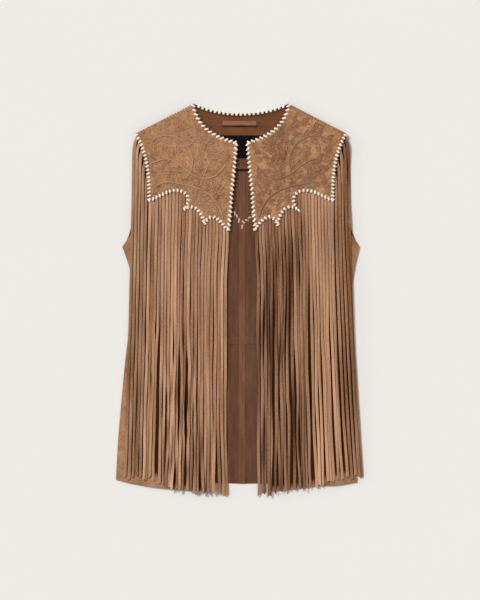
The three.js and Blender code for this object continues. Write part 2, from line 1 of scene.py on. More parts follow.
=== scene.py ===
"""A suede fringe vest laid flat: fine suede panels, cut strands, whip-stitched lace and stitched vines.

Lengths are in millimetres in the vest's own drawing, whose +Y runs to the neck. "Outward" coordinates
count x away from the middle, so one outline serves both sides. Meshes are moved into the frame, in
metres, when they are made.
"""
import math

import bpy
import numpy as np
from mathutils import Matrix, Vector
from mathutils.geometry import delaunay_2d_cdt


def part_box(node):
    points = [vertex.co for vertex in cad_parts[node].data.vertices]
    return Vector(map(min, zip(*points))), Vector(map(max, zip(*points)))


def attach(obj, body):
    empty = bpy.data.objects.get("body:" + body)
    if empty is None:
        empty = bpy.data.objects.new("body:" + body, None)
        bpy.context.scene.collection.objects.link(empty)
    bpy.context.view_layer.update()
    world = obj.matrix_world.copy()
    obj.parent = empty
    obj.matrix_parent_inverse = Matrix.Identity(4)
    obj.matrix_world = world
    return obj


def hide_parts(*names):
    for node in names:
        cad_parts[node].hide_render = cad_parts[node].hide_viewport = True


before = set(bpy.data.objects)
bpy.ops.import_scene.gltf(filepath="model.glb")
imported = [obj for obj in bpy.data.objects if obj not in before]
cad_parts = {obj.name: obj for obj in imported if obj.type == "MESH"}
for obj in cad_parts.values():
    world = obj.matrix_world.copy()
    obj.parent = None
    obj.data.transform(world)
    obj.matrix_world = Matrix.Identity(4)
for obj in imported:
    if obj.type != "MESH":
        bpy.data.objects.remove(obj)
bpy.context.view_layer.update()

MM = 0.001

# Leather thicknesses and gaps, as in the solids
SUEDE = 1.2
STRIP = 1.0
SEAM_GAP = 0.3

# Landmarks of the cut
NECK_POINT = (82.8, 344.2)
SHOULDER_TIP = (183.8, 292.0)
NECK_CORNER_Y = 276.3
BACK_NECK_Y = 326.7
UNDERARM = (207.6, 94.0)
YOKE_TIP = (22.6, 120.8)
YOKE_CORNER = (162.2, 173.3)
WAIST_Y = -76.0
BACK_HEM_Y = -320.3
BACK_STEP_TOP_Y = 118.0
BACK_YOKE_TIP_Y = 126.8
CENTRE_X = 1.75
FRONT_EDGE_AT_HEM = (50.0, -334.0)

# Half the width of the front opening: height, half width
FRONT_OPENING = [(NECK_CORNER_Y, 8.2), (223.0, 12.9), (191.0, 16.4), (155.0, 18.9), (120.8, 22.6)]

# What differs between the sides. Seams, hems and fringe ends are points, partings are (x, gap, fall where
# it opens), other rows are (x, value), and a fall runs from 0 at a strand's root to 1 at its end.
# Fan, clump and wander spread, gather and sway the strands; twist, turn and facing roll them; busy, calm
# and gap say how many wedges open between neighbours, and how long and wide they are. Close_up moves
# the strands outward, and the strand tone table makes them lighter or darker: partly their own tone,
# partly painted shade, darkest on the right side's outermost strands.
SIDES = {
    "left": {
        "sign": -1,
        "seam": [(192.5, 48), (190, 15), (196, -50), (203, -110), (209, -174), (215, -244),
                 (218.7, -313.4)],
        "front_hem": [(89, -332.5), (150.5, -326.4), (194, -319.4)],
        "fringe_ends": [(25, -340), (78, -339), (90, -333), (115, -331), (135, -323), (148, -311),
                        (200, -310)],
        "fan": 10.0,
        "fan_power": 1.3,
        "clump": 1.3,
        "clump_phase": 0.6,
        "wander": 1.3,
        "partings": [(139, 5.0, 0.35), (103, 3.5, 0.4), (91, 3.0, 0.45), (70, 2.0, 0.55)],
        "twist": [(25, 0.3), (55, 0.4), (76, 1.0), (130, 1.0), (142, 0.12), (200, 0.12)],
        "twist_fall": (0.3, 0.7),
        "twist_range": (0.12, 0.7),
        "turn_length": (27, 9),
        "facing": [(25, 0.0), (130, 0.0), (146, -0.15), (162, -0.2), (166, -0.35), (188, -0.25)],
        "close_up": [(0, 0)],
        "busy": [(25, 0.35), (60, 0.6), (76, 1.0), (130, 1.0), (145, 0.8), (200, 0.6)],
        "calm_fall": (0.3, 0.55),
        "calm": 0.15,
        "gap_half_length": (12, 50),
        "widest_gap": 2.5,
        "strand_tone_and_shade": [(25, 0.25), (70, 0.2), (100, 0.1), (140, 0.3), (160, 0.3), (188, 0.0)],
    },
    "right": {
        "sign": 1,
        "seam": [(199.5, 59), (194, 19), (190.5, -30), (192, -90), (196, -170), (200, -250), (203, -318)],
        "front_hem": [(85, -330), (130, -324.5), (165, -323)],
        "fringe_ends": [(27, -341), (48, -339), (60, -334), (95, -330), (122, -326), (150, -316), (185, -309),
                        (215, -306)],
        "fan": 19.5,
        "fan_power": 2.0,
        "clump": 1.9,
        "clump_phase": 2.1,
        "wander": 0.7,
        "partings": [(53, 5.0, 0.15), (80, 3.5, 0.25), (88, 4.0, 0.3), (115, 5.0, 0.2), (130, 2.0, 0.4),
                     (150, 3.5, 0.3)],
        "twist": [(25, 0.9), (60, 1.0), (112, 0.8), (124, 0.3), (150, 0.3), (166, 0.8), (215, 0.8)],
        "twist_fall": (0.0, 0.4),
        "twist_range": (0.14, 0.42),
        "turn_length": (52, 20),
        "close_up": [(150, 0), (177, 1.4), (182.5, 1.7), (188, -0.9)],
        "facing": [(25, 0.5), (60, 0.5), (104, 0.4), (124, 0.1), (150, 0.12), (168, 0.25), (188, 0.3)],
        "busy": [(25, 1.0), (104, 1.0), (125, 0.4), (150, 0.4), (158, 0.8), (164, 0.0), (215, 0.0)],
        "calm_fall": (0.0, 0.2),
        "calm": 0.9,
        "gap_half_length": (22, 95),
        "widest_gap": 2.6,
        "strand_tone_and_shade": [(25, -0.4), (110, -0.1), (124, 0.4), (150, 0.4), (165, 0.0), (178, -0.1),
                        (188, -0.9)],
    },
}

# Fringe
STRAND = {
    "width": 5.3, "thickness": 1.1, "root_thickness": 0.8, "pitch": 5.8, "root_depth": 8, "cup": 0.45,
    "cup_middle": 0.4, "slant": 3, "tone_spread": 0.38, "clearance": 0.12, "width_varies": 0.05,
    "width_wave": 31,
}
YOKE_STRANDS = 24
FIRST_STRAND_X = 25.6
LAST_STRAND_X = 188.0
ARMHOLE_STRANDS = [(226, 166.0), (248, 171.5), (266, 177.0), (279, 182.5), (287, LAST_STRAND_X)]
HANG = {
    "drift": 4, "drift_end": 0.2, "lean": 3, "root_inset": 3.2, "swing": 10, "fan_power": 1.6,
    "clump_length": 48, "sway_turns": 7, "parting_reach": 14, "parting_opens_over": 0.25, "stray": 0.9,
    "steady_power": 4, "stray_length": (34, 8), "phase_spread": 3.1, "loosen_over": 60,
    "free_below_yoke": 8, "free_below_armhole": 40, "end_spread": 3, "gaps_open_over": (0, 0.12),
    "close_up_over": (0.1, 0.45),
}
# Each use of jitter has a salt, so that no two vary alike
STRAY_SALT = 40
TURN_SALT = 42
GAP_SALT = 50
# Wedges between neighbours: places for each pair, how many open, how far they push, where they lie
GAPS = {"on_pair": 5, "share": 0.5, "reach": 8.0, "top": 130, "length": 470}
# Past a front's edge the strands sink towards the floor: by what share, and over what distances
PAST_FRONT = {"sink": 0.8, "over": (2, 22)}
ROW = {"top": 300.0, "step": 3.6, "count": 182}
COLUMN = {"first": -245.0, "step": 0.7, "count": 700}

# How the fronts lie on the back
LAY = {
    "side_ramp": 45, "belly": 1.5, "folds": [(0.45, 13, 0), (0.25, 31, 1)], "facing_top_y": 205,
    "label_side": (100, 62), "label_edge": (205, 232), "shoulder": (6, 40), "armhole": (130, 158),
}
TUCK = 1.0
STRIP_DEPTH = 12.0
ARCH_STEPS = 24

# Neck
FACING = {"bottom_y": 226.6, "half_bottom": 62, "side_x": 122, "side_y": 318, "thickness": 1.0}
LABEL = {"x": -3, "y": 268.6, "width": 81.5, "height": 40, "thickness": 1.0}
LOOP = {"x": -2.4, "y": 309.8, "length": 59, "width": 8, "rise": 2.4, "tab": 6}
ALLOWANCE = {"centre": 5.5, "waist": 12, "height": 0.8, "waist_end_x": 150, "past_seam": 0.35,
             "apart": 0.03, "wave": 0.05}

BACK_LIFT = SUEDE + SEAM_GAP
FACING_BOTTOM = BACK_LIFT + SUEDE + SEAM_GAP
FACING_TOP = FACING_BOTTOM + FACING["thickness"]
LABEL_TOP = FACING_TOP + SEAM_GAP + LABEL["thickness"]

# The drawing's origin in the frame, read from the label's box
label_low, label_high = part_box("neck_label")
SHIFT = (
    (label_low[0] + label_high[0]) / 2 / MM - LABEL["x"],
    (label_low[1] + label_high[1]) / 2 / MM - LABEL["y"],
)


# Small mathematics

def smooth(value, low, high):
    t = np.clip((value - low) / (high - low), 0, 1)
    return t * t * (3 - 2 * t)


def jitter(index, salt):
    """A repeatable number from -1 to 1."""
    s = math.sin(index * 12.9898 + salt * 78.233) * 43758.5453
    return 2 * (s - math.floor(s)) - 1


def look_up(rows, value, by=0, give=1):
    rows = sorted(rows, key=lambda r: r[by])
    return np.interp(value, [r[by] for r in rows], [r[give] for r in rows])


def cubic(a, b, c, d, divisions=ARCH_STEPS):
    """Points along a cubic curve, without its last one."""
    t = np.linspace(0, 1, divisions, endpoint=False)[:, None]
    a, b, c, d = (np.array(p, float) for p in (a, b, c, d))
    return a * (1 - t) ** 3 + 3 * b * t * (1 - t) ** 2 + 3 * c * t * t * (1 - t) + d * t ** 3


def spline(points, divisions=60):
    """Points along the smooth curve through a list of points."""
    p = np.array(points, float)
    p = np.vstack([p[:1], p, p[-1:]])
    out = []
    for s in np.linspace(0, len(points) - 1, divisions + 1):
        k = min(int(s), len(points) - 2)
        t = s - k
        a, b, c, d = p[k], p[k + 1], p[k + 2], p[k + 3]
        v0, v1 = (c - a) / 2, (d - b) / 2
        out.append((2 * b - 2 * c + v0 + v1) * t ** 3 + (-3 * b + 3 * c - 2 * v0 - v1) * t * t + v0 * t + b)
    return np.array(out)


def stack(*parts):
    return np.vstack([np.atleast_2d(np.array(p, float)) for p in parts])


def mirrored(points, sign):
    points = np.array(points, float)
    return points * (sign, 1)


def spaced(points, step):
    """The same path with points about a step apart, its corners kept."""
    out = []
    for a, b in zip(points[:-1], points[1:]):
        count = max(1, int(math.ceil(np.hypot(*(b - a)) / step)))
        out.extend(a + (b - a) * k / count for k in range(count))
    out.append(points[-1])
    return np.array(out)


def towards(angle):
    return np.array((math.cos(angle), math.sin(angle)))


def left_of(direction):
    return np.array((-direction[1], direction[0]))


def rectangle(left, bottom, right, top):
    return np.array([(left, bottom), (right, bottom), (right, top), (left, top)], float)


def level(height):
    """A flat surface at one height."""
    return lambda x, y: height + 0 * x


def height_at(surface, x, y):
    """A surface's height at one place, as a plain number."""
    return float(np.squeeze(surface(x, y)))


def line_distance(x, y, line):
    """Distance of each point to an open line."""
    p = np.stack([x, y], axis=-1)
    best = np.full(x.shape, 1e9)
    for a, b in zip(line[:-1], line[1:]):
        ab = b - a
        t = np.clip(((p - a) @ ab) / max(ab @ ab, 1e-9), 0, 1)
        apart = p - a - t[..., None] * ab
        best = np.minimum(best, np.hypot(apart[..., 0], apart[..., 1]))
    return best


def outline_distance(x, y, outline):
    """Distance of each point to a closed outline."""
    return line_distance(x, y, stack(outline, outline[:1]))


def inside(x, y, outline):
    """Whether each point is inside a closed outline."""
    hit = np.zeros(x.shape, bool)
    for a, b in zip(outline, np.roll(outline, -1, axis=0)):
        if a[1] == b[1]:
            continue
        crosses = (a[1] > y) != (b[1] > y)
        hit ^= crosses & (x < (b[0] - a[0]) * (y - a[1]) / (b[1] - a[1]) + a[0])
    return hit


def polygon_area(outline):
    x, y = outline[:, 0], outline[:, 1]
    return abs(np.dot(x, np.roll(y, -1)) - np.dot(y, np.roll(x, -1))) / 2


# Outlines, in outward coordinates

def scallop():
    """The yoke's lower edge from the front opening to the armhole."""
    return stack(
        cubic(YOKE_TIP, (38, 140), (52, 158), (63.9, 130.4)),
        cubic((63.9, 130.4), (72, 158), (80, 170), (102, 156.5)),
        cubic((102, 156.5), (84, 178), (96, 192), (115.5, 190.8)),
        cubic((115.5, 190.8), (130, 190.5), (145, 177), YOKE_CORNER),
        YOKE_CORNER,
    )


def yoke_armhole():
    """The front yoke's armhole edge from its lower corner up."""
    return stack(cubic(YOKE_CORNER, (160.5, 210), (163, 250), (183, 288)), (183, 288))


def front_armhole():
    corner = (YOKE_CORNER[0] - TUCK, YOKE_CORNER[1])
    return stack(cubic(corner, (162, 160), (184, 128), UNDERARM), UNDERARM)


def back_armhole():
    return stack(cubic(SHOULDER_TIP, (183, 215), (183, 118), UNDERARM, 30), UNDERARM)


def front_neckline(sign):
    corner = (CENTRE_X * sign + FRONT_OPENING[0][1], NECK_CORNER_Y)
    return stack(cubic(NECK_POINT, (76, 305), (50, 287), corner), corner)


def back_neckline():
    middle = (0, BACK_NECK_Y)
    return stack(cubic(NECK_POINT, (60, 333), (30, BACK_NECK_Y), middle), middle)


def side_seam(side):
    return spline([UNDERARM] + SIDES[side]["seam"])


def opening_edge(sign):
    return np.array([(half + CENTRE_X * sign, y) for y, half in FRONT_OPENING])


SCALLOP = scallop()


def scallop_heights(x):
    """Highest and lowest height of the scallop at a distance from the middle."""
    heights = []
    for a, b in zip(SCALLOP[:-1], SCALLOP[1:]):
        if min(a[0], b[0]) <= x <= max(a[0], b[0]) and a[0] != b[0]:
            heights.append(a[1] + (x - a[0]) / (b[0] - a[0]) * (b[1] - a[1]))
    if not heights:
        heights = [YOKE_TIP[1] if x < YOKE_TIP[0] else YOKE_CORNER[1]]
    return max(heights), min(heights)


# Heights of the layers

def front_lift(x, y):
    x, y = np.asarray(x, float), np.asarray(y, float)
    out = np.abs(x)
    seams = [look_up([UNDERARM] + SIDES[s]["seam"], y, by=1, give=0) for s in ("left", "right")]
    inner = smooth(np.where(x < 0, seams[0], seams[1]) - out, 0, LAY["side_ramp"])
    folds = sum(height * np.sin(x / wave + phase) for height, wave, phase in LAY["folds"])
    belly = SUEDE + SEAM_GAP + (LAY["belly"] + folds) * inner
    chest = BACK_LIFT + SUEDE + SEAM_GAP
    over_facing = smooth(y, BACK_STEP_TOP_Y, LAY["facing_top_y"]) * (FACING_TOP + SEAM_GAP - chest)
    near_label = smooth(out, *LAY["label_side"]) * smooth(y, *LAY["label_edge"])
    top = chest + over_facing + near_label * (LABEL_TOP - FACING_TOP)
    above = smooth(y, UNDERARM[1], BACK_STEP_TOP_Y)
    return belly + (top - belly) * above


def below_shoulder(x, y):
    dx = SHOULDER_TIP[0] - NECK_POINT[0]
    dy = SHOULDER_TIP[1] - NECK_POINT[1]
    return (-(y - NECK_POINT[1]) * dx + (np.abs(x) - NECK_POINT[0]) * dy) / math.hypot(dx, dy)


def back_lift(x, y):
    return BACK_LIFT * smooth(y, UNDERARM[1], BACK_STEP_TOP_Y) + 0 * x


def yoke_lift(x, y):
    from_shoulder = smooth(below_shoulder(x, y), *LAY["shoulder"])
    near_armhole = smooth(np.abs(x), *LAY["armhole"])
    over_strip = np.maximum(from_shoulder, near_armhole)
    return front_lift(x, y) + SUEDE + SEAM_GAP + (STRIP + SEAM_GAP) * over_strip


# Making meshes

def place(obj, node=None):
    """Fix a piece to the vest and, where told, let it stand for a solid."""
    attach(obj, "root")
    if node:
        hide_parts(node)
    return obj


def new_object(name, vertices, faces, materials, slots=None, tone=None, shade=None):
    """An object whose vertices are given in the drawing's millimetres."""
    points = np.array(vertices, float) + (SHIFT[0], SHIFT[1], 0)
    mesh = bpy.data.meshes.new(name)
    mesh.from_pydata((points * MM).tolist(), [], faces)
    for material in materials:
        mesh.materials.append(material)
    if slots is not None:
        mesh.polygons.foreach_set("material_index", np.array(slots, np.int32))
    mesh.polygons.foreach_set("use_smooth", np.ones(len(mesh.polygons), bool))
    for attribute, values in (("tone", tone), ("shade", shade)):
        if values is not None:
            layer = mesh.attributes.new(attribute, "FLOAT", "POINT")
            layer.data.foreach_set("value", np.array(values, np.float32))
    mesh.validate()
    mesh.update()
    obj = bpy.data.objects.new(name, mesh)
    bpy.context.scene.collection.objects.link(obj)
    return obj


def sharp_rim(obj, angle=50):
    """Keep a cut edge crisp while the rest is smooth."""
    obj.data.set_sharp_from_angle(angle=math.radians(angle))


# How far the inner points keep from the edge, in spacings, and how much of the edge's drop the
# underside takes
CLOTH = {"inset": 0.55, "underside": 0.6, "merge": 1e-5}


def cloth(name, outline, lift, thickness, spacing, materials, relief=None, edge_drop=0.25, shade=None):
    """A leather wall with the given outline, over a height, as a closed shell with fine faces."""
    outline = spaced(stack(outline, outline[:1]), spacing)[:-1]
    if np.dot(outline[:, 0], np.roll(outline[:, 1], -1)) < np.dot(outline[:, 1], np.roll(outline[:, 0], -1)):
        outline = outline[::-1]
    low, high = outline.min(axis=0), outline.max(axis=0)
    xs = np.arange(low[0] + spacing / 2, high[0], spacing)
    ys = np.arange(low[1] + spacing / 2, high[1], spacing)
    gx, gy = (g.ravel() for g in np.meshgrid(xs, ys))
    keep = inside(gx, gy, outline)
    gx, gy = gx[keep], gy[keep]
    keep = outline_distance(gx, gy, outline) > CLOTH["inset"] * spacing
    points = np.vstack([outline, np.stack([gx[keep], gy[keep]], axis=1)])
    count = len(outline)
    corners = [Vector(p) for p in points.tolist()]
    result = delaunay_2d_cdt(corners, [], [list(range(count))], 1, CLOTH["merge"])
    flat = np.array([tuple(v) for v in result[0]])
    triangles = [tuple(f) for f in result[2]]
    x, y = flat[:, 0], flat[:, 1]
    drop = np.zeros(len(flat))
    drop[:count] = edge_drop
    bump = relief(x, y) if relief else 0
    bottom = lift(x, y) + bump + drop * CLOTH["underside"]
    top = lift(x, y) + bump + thickness - drop
    total = len(flat)
    vertices = np.vstack([np.stack([x, y, top], axis=1), np.stack([x, y, bottom], axis=1)])
    faces = triangles + [(c + total, b + total, a + total) for a, b, c in triangles]
    faces += [(k, k + total, (k + 1) % count + total, (k + 1) % count) for k in range(count)]
    slots = [0] * len(triangles) + [1] * len(triangles) + [2] * count
    shades = np.concatenate([shade(x, y), 0 * x]) if shade else None
    obj = new_object(name, vertices, faces, materials, slots, shade=shades)
    sharp_rim(obj)
    return obj, polygon_area(outline), high - low


def sheet(node, kind, slot, outline, lift, thickness, spacing, materials, rests_on=(), with_pieces=(),
          **form):
    """A piece of cloth that stands for a solid."""
    obj, area, size = cloth(f"{node}_{kind}", outline, lift, thickness, spacing, materials, **form)
    place(obj, node)


def tube_faces(count, n):
    """Faces of a closed tube of so many rows with n points each."""
    faces = []
    for k in range(count - 1):
        for c in range(n):
            a, b = k * n + c, k * n + (c + 1) % n
            faces.append((a, b, b + n, a + n))
    last = (count - 1) * n
    return faces + [tuple(range(n - 1, -1, -1)), tuple(range(last, last + n))]


def swept(rows, section):
    """A tube through section rows: each row is (middle, across, out) and section lists (u, v)."""
    vertices = []
    for middle, across, out in rows:
        vertices.extend(middle + across * u + out * v for u, v in section)
    return vertices, tube_faces(len(rows), len(section))


class Batch:
    """Many small meshes gathered into one piece."""

    def __init__(self):
        self.vertices = []
        self.faces = []
        self.tone = []
        self.slots = []

    def add(self, vertices, faces, tone=0.0, slots=None):
        start = len(self.vertices)
        self.vertices.extend(vertices)
        self.faces.extend(tuple(i + start for i in f) for f in faces)
        self.tone.extend([tone] * len(vertices))
        self.slots.extend(slots or [0] * len(faces))

    def make(self, name, materials, node=None):
        obj = new_object(name, self.vertices, self.faces, materials, self.slots, self.tone)
        return place(obj, node)


# Materials

SHEEN_TINT = (1.0, 0.86, 0.72)
# A suede's noises: whether it is drawn out with the brushing, scale, detail and roughness
SUEDE_NOISES = {
    "patches": (True, 14, 3), "brushed": (True, 55, 4, 0.6), "hue": (True, 23, 2),
    "spots": (False, 250, 2), "nap": (False, 520, 3, 0.7), "grain": (False, 1500, 2, 0.6),
}
# How much each counts in the colour, and the half width of the range from dark to light
SUEDE_MIX = {"patches": 0.75, "brushed": 0.85, "nap": 0.5, "range": 0.325}
HUES = ((1.02, 0.99, 0.91), (0.99, 1.0, 1.04))
LENGTHWISE = (2.2, 0.35, 1)


class Nodes:
    """A short way to build a material's nodes."""

    def __init__(self, name):
        self.material = bpy.data.materials.new(name)
        self.material.use_nodes = True
        self.tree = self.material.node_tree
        self.shader = self.tree.nodes["Principled BSDF"]
        self.position = self.add("ShaderNodeTexCoord", {}).outputs["Object"]

    def add(self, kind, inputs, **values):
        """A new node with its settings and its inputs."""
        node = self.tree.nodes.new(kind)
        for key, value in values.items():
            setattr(node, key, value)
        self.fill(node, inputs)
        return node

    def fill(self, node, inputs):
        """Give a node's inputs, each of them a value or what comes out of another node."""
        for key, value in inputs.items():
            socket = node.inputs[key]
            if isinstance(value, bpy.types.NodeSocket):
                self.tree.links.new(value, socket)
            else:
                socket.default_value = (*value, 1) if socket.type == "RGBA" else value

    def scaled(self, scale):
        return self.add("ShaderNodeMapping", {"Vector": self.position, "Scale": scale}).outputs["Vector"]

    def noise(self, vector, scale, detail=3, roughness=0.55):
        inputs = {"Vector": vector, "Scale": scale, "Detail": detail, "Roughness": roughness}
        return self.add("ShaderNodeTexNoise", inputs).outputs["Fac"]

    def waves(self, direction, scale, distortion=0.0):
        inputs = {"Vector": self.position, "Scale": scale, "Distortion": distortion}
        return self.add("ShaderNodeTexWave", inputs, bands_direction=direction).outputs["Fac"]

    def painted(self, attribute):
        return self.add("ShaderNodeAttribute", {}, attribute_name=attribute).outputs["Fac"]

    def stretched(self, value, low, high):
        """The value with low taken to 0 and high to 1."""
        inputs = {"Value": value, "From Min": low, "From Max": high, "To Min": 0, "To Max": 1}
        return self.add("ShaderNodeMapRange", inputs).outputs["Result"]

    def math(self, operation, a, b):
        return self.add("ShaderNodeMath", {0: a, 1: b}, operation=operation).outputs["Value"]

    def total(self, *parts):
        """The sum of values, each times its weight."""
        result = 0.0
        for value, weight in parts:
            result = self.math("ADD", result, self.math("MULTIPLY", value, weight))
        return result

    def mix(self, factor, a, b, blend="MIX"):
        node = self.add("ShaderNodeMix", {"Factor": factor}, data_type="RGBA", blend_type=blend)
        first, second = [k for k, socket in enumerate(node.inputs) if socket.type == "RGBA"]
        self.fill(node, {first: a, second: b})
        return next(socket for socket in node.outputs if socket.type == "RGBA")

    def bump(self, height, strength, distance):
        inputs = {"Height": height, "Strength": strength, "Distance": distance}
        self.fill(self.shader, {"Normal": self.add("ShaderNodeBump", inputs).outputs["Normal"]})

    def finish(self, colour, roughness, sheen, specular):
        self.fill(self.shader, {
            "Base Color": colour, "Roughness": roughness, "Specular IOR Level": specular,
            "Sheen Weight": sheen, "Sheen Roughness": 0.5, "Sheen Tint": SHEEN_TINT,
        })
        return self.material


def suede(name, dark, light, stretch=(1, 1, 1), tone=0.0, sheen=0.25, shade=(0.03, 0.012, 0.006),
          mottle=0.25):
    """Napped leather: brushed patches, mottle, short nap and fine grain, lighter or shaded where told."""
    n = Nodes(name)
    vector = n.scaled(stretch)
    noise = {}
    for key, (drawn_out, *values) in SUEDE_NOISES.items():
        noise[key] = n.noise(vector if drawn_out else n.position, *values)
    parts = [(noise[key], SUEDE_MIX[key]) for key in ("patches", "brushed", "nap")]
    parts.append((noise["spots"], mottle))
    middle = sum(weight for _, weight in parts) / 2
    value = n.total(*parts, (n.painted("tone"), tone))
    factor = n.stretched(value, middle - SUEDE_MIX["range"], middle + SUEDE_MIX["range"])
    hue = n.mix(n.stretched(noise["hue"], 0.35, 0.65), *HUES)
    colour = n.mix(1.0, n.mix(factor, dark, light), hue, "MULTIPLY")
    n.bump(n.total((noise["nap"], 0.7), (noise["grain"], 0.5)), 0.35, 0.0006)
    return n.finish(n.mix(n.painted("shade"), colour, shade), 0.95, sheen, 0.04)


def lace_material(name, dark, light):
    n = Nodes(name)
    fibre = n.noise(n.position, 700, 3)
    factor = n.stretched(n.total((fibre, 0.5), (n.noise(n.position, 90, 2), 1)), 0.5, 1.0)
    n.bump(fibre, 0.2, 0.0004)
    return n.finish(n.mix(factor, dark, light), 0.6, 0.0, 0.3)


def thread_material(name, dark, light):
    n = Nodes(name)
    ply = n.waves("DIAGONAL", 420, 1.5)
    factor = n.stretched(n.total((ply, 0.35), (n.noise(n.position, 60, 2), 0.7)), 0.2, 0.9)
    n.bump(ply, 0.5, 0.0003)
    return n.finish(n.mix(factor, dark, light), 0.55, 0.2, 0.3)


def label_material():
    n = Nodes("label_weave")
    weave = n.waves("Y", 300)
    factor = n.stretched(n.total((weave, 0.4), (n.noise(n.position, 40, 2), 1)), 0.3, 1.1)
    n.bump(weave, 0.4, 0.0003)
    return n.finish(n.mix(factor, (0.003, 0.002, 0.002), (0.012, 0.009, 0.008)), 0.9, 0.0, 0.06)


def floor_material():
    n = Nodes("paper_floor")
    grain = n.noise(n.position, 6, 2)
    return n.finish(n.mix(grain, (0.843, 0.832, 0.808), (0.848, 0.837, 0.813)), 0.9, 0.0, 0.1)


FACE = suede("suede_face", (0.21, 0.09, 0.036), (0.55, 0.29, 0.152), stretch=(1.7, 1.7, 1), sheen=0.15,
             shade=(0.085, 0.034, 0.015), mottle=0.85)
FACE_EDGE = suede("suede_edge", (0.13, 0.05, 0.02), (0.26, 0.115, 0.055))
FRONT_FACE = suede("suede_front", (0.22, 0.098, 0.044), (0.5, 0.28, 0.165), sheen=0.05,
                   shade=(0.045, 0.0135, 0.0035), mottle=0.5)
INSIDE = suede("suede_inside", (0.09, 0.036, 0.0195), (0.178, 0.079, 0.045), LENGTHWISE,
               shade=(0.032, 0.012, 0.006))
INSIDE_BAND = suede("suede_allowance", (0.118, 0.049, 0.025), (0.22, 0.104, 0.058), LENGTHWISE)
WAIST_BAND = suede("suede_waist", (0.095, 0.038, 0.02), (0.185, 0.083, 0.047), LENGTHWISE)
FACING_FACE = suede("suede_facing", (0.095, 0.033, 0.013), (0.22, 0.09, 0.042), stretch=(0.3, 1.6, 1),
                    shade=(0.012, 0.005, 0.003))
LOOP_FACE = suede("suede_loop", (0.22, 0.092, 0.045), (0.38, 0.175, 0.1))
FRINGE = suede("suede_fringe", (0.2, 0.081, 0.032), (0.61, 0.356, 0.224), stretch=(1.5, 0.1, 1), tone=0.3,
               sheen=0.12)
# The strands' cut sides: darker as cut suede is, and deepened to near black as painted shade for the gaps
# between strands.
FRINGE_CUT_EDGE_AND_SHADE = suede("fringe_cut_edge_and_shade", (0.04, 0.012, 0.003), (0.14, 0.052, 0.02), stretch=(1.5, 0.12, 1),
                    sheen=0.0)
LACE = lace_material("lace_leather", (0.8, 0.7, 0.6), (0.98, 0.93, 0.85))
# A darker copy of the lace: painted shade on the stitches that show inside the back.
LACE_SHADED = lace_material("lace_leather_shaded", (0.4, 0.28, 0.22), (0.66, 0.49, 0.4))
SHOULDER_THREAD = lace_material("shoulder_thread", (0.28, 0.2, 0.13), (0.62, 0.52, 0.42))
# The right side's thread is a darker copy of the left's: painted shade on the right yoke's vines and shoulder
# stitches.
THREAD = {
    "left": thread_material("embroidery_left", (0.28, 0.135, 0.068), (0.58, 0.34, 0.2)),
    "right": thread_material("embroidery_right", (0.15, 0.065, 0.029), (0.44, 0.24, 0.135)),
}
WEAVE = label_material()


# Panels

def back_relief(x, y):
    """Soft lengthwise waves and the pull of the seams."""
    waves = 0.12 * np.sin(x / 7.5 + 0.6 * np.sin(y / 60)) + 0.1 * np.sin(x / 17 + y / 90)
    seam = np.exp(-((y - WAIST_Y) / 6) ** 2) * 0.12 * np.sin(x / 4.5)
    return 0.18 + 0.6 * waves + np.abs(seam)


# Creases of the yokes: sign, points of the fold's line in outward coordinates, half width, height, shade
CREASES = [
    (1, [(81.5, 267), (78.5, 256), (76, 246)], 2.4, -0.9, 0.8),
    (1, [(84, 266), (89, 258), (91, 248)], 1.8, -0.5, 0.4),
    (1, [(75, 242), (73, 222), (78, 206)], 4.0, -0.7, 0.3),
    (1, [(92, 244), (95, 226), (92, 204)], 4.0, -0.6, 0.2),
    (1, [(70, 316), (73, 296), (78, 274)], 5.0, -0.8, 0.35),
    (1, [(84, 240), (84, 222)], 5.0, 0.6, 0.0),
    (1, [(120, 258), (142, 240), (150, 216)], 6.0, 0.5, 0.0),
    (1, [(40, 250), (66, 232), (104, 226)], 5.0, 0.5, 0.0),
    (-1, [(60, 288), (92, 282), (120, 296)], 6.0, 0.5, 0.0),
    (-1, [(148, 268), (152, 236), (146, 206)], 4.0, -0.6, 0.2),
    (-1, [(30, 224), (56, 236), (84, 232)], 7.0, 0.45, 0.0),
    (-1, [(44, 166), (66, 180), (96, 212)], 6.0, -0.4, 0.0),
]


CREASE_LINES = [spline(points, 10) for _, points, *_ in CREASES]


def crease_marks(x, y):
    """The height and the shade that the creases give to each point of the yokes."""
    out = np.abs(x)
    height, shade = 0 * out, 0 * out
    for (sign, _, half_width, rise, dark), line in zip(CREASES, CREASE_LINES):
        near = np.where(x * sign > 0, np.exp(-(line_distance(out, y, line) / half_width) ** 2), 0)
        height = height + rise * near
        shade = np.maximum(shade, dark * near)
    return height, shade


def yoke_relief(x, y):
    """Shallow dents and the soft creases where the leather has been handled."""
    x, y = np.atleast_1d(np.asarray(x, float)), np.atleast_1d(np.asarray(y, float))
    out = np.abs(x)
    dents = 0.25 * np.sin(out / 19 + 0.8) * np.sin(y / 23 + out / 60) + 0.12 * np.sin(out / 9 + y / 31)
    return np.maximum(0.9 + dents + crease_marks(x, y)[0], 0.05)


def yoke_top(x, y):
    """The height of the yokes' face."""
    return yoke_lift(x, y) + SUEDE + yoke_relief(x, y)


def front_relief(x, y):
    return 0.1 * np.sin(x / 9 + y / 70)


ARM_SHADE = {"side": (150, 160), "height": (118, 142), "strength": 0.7}


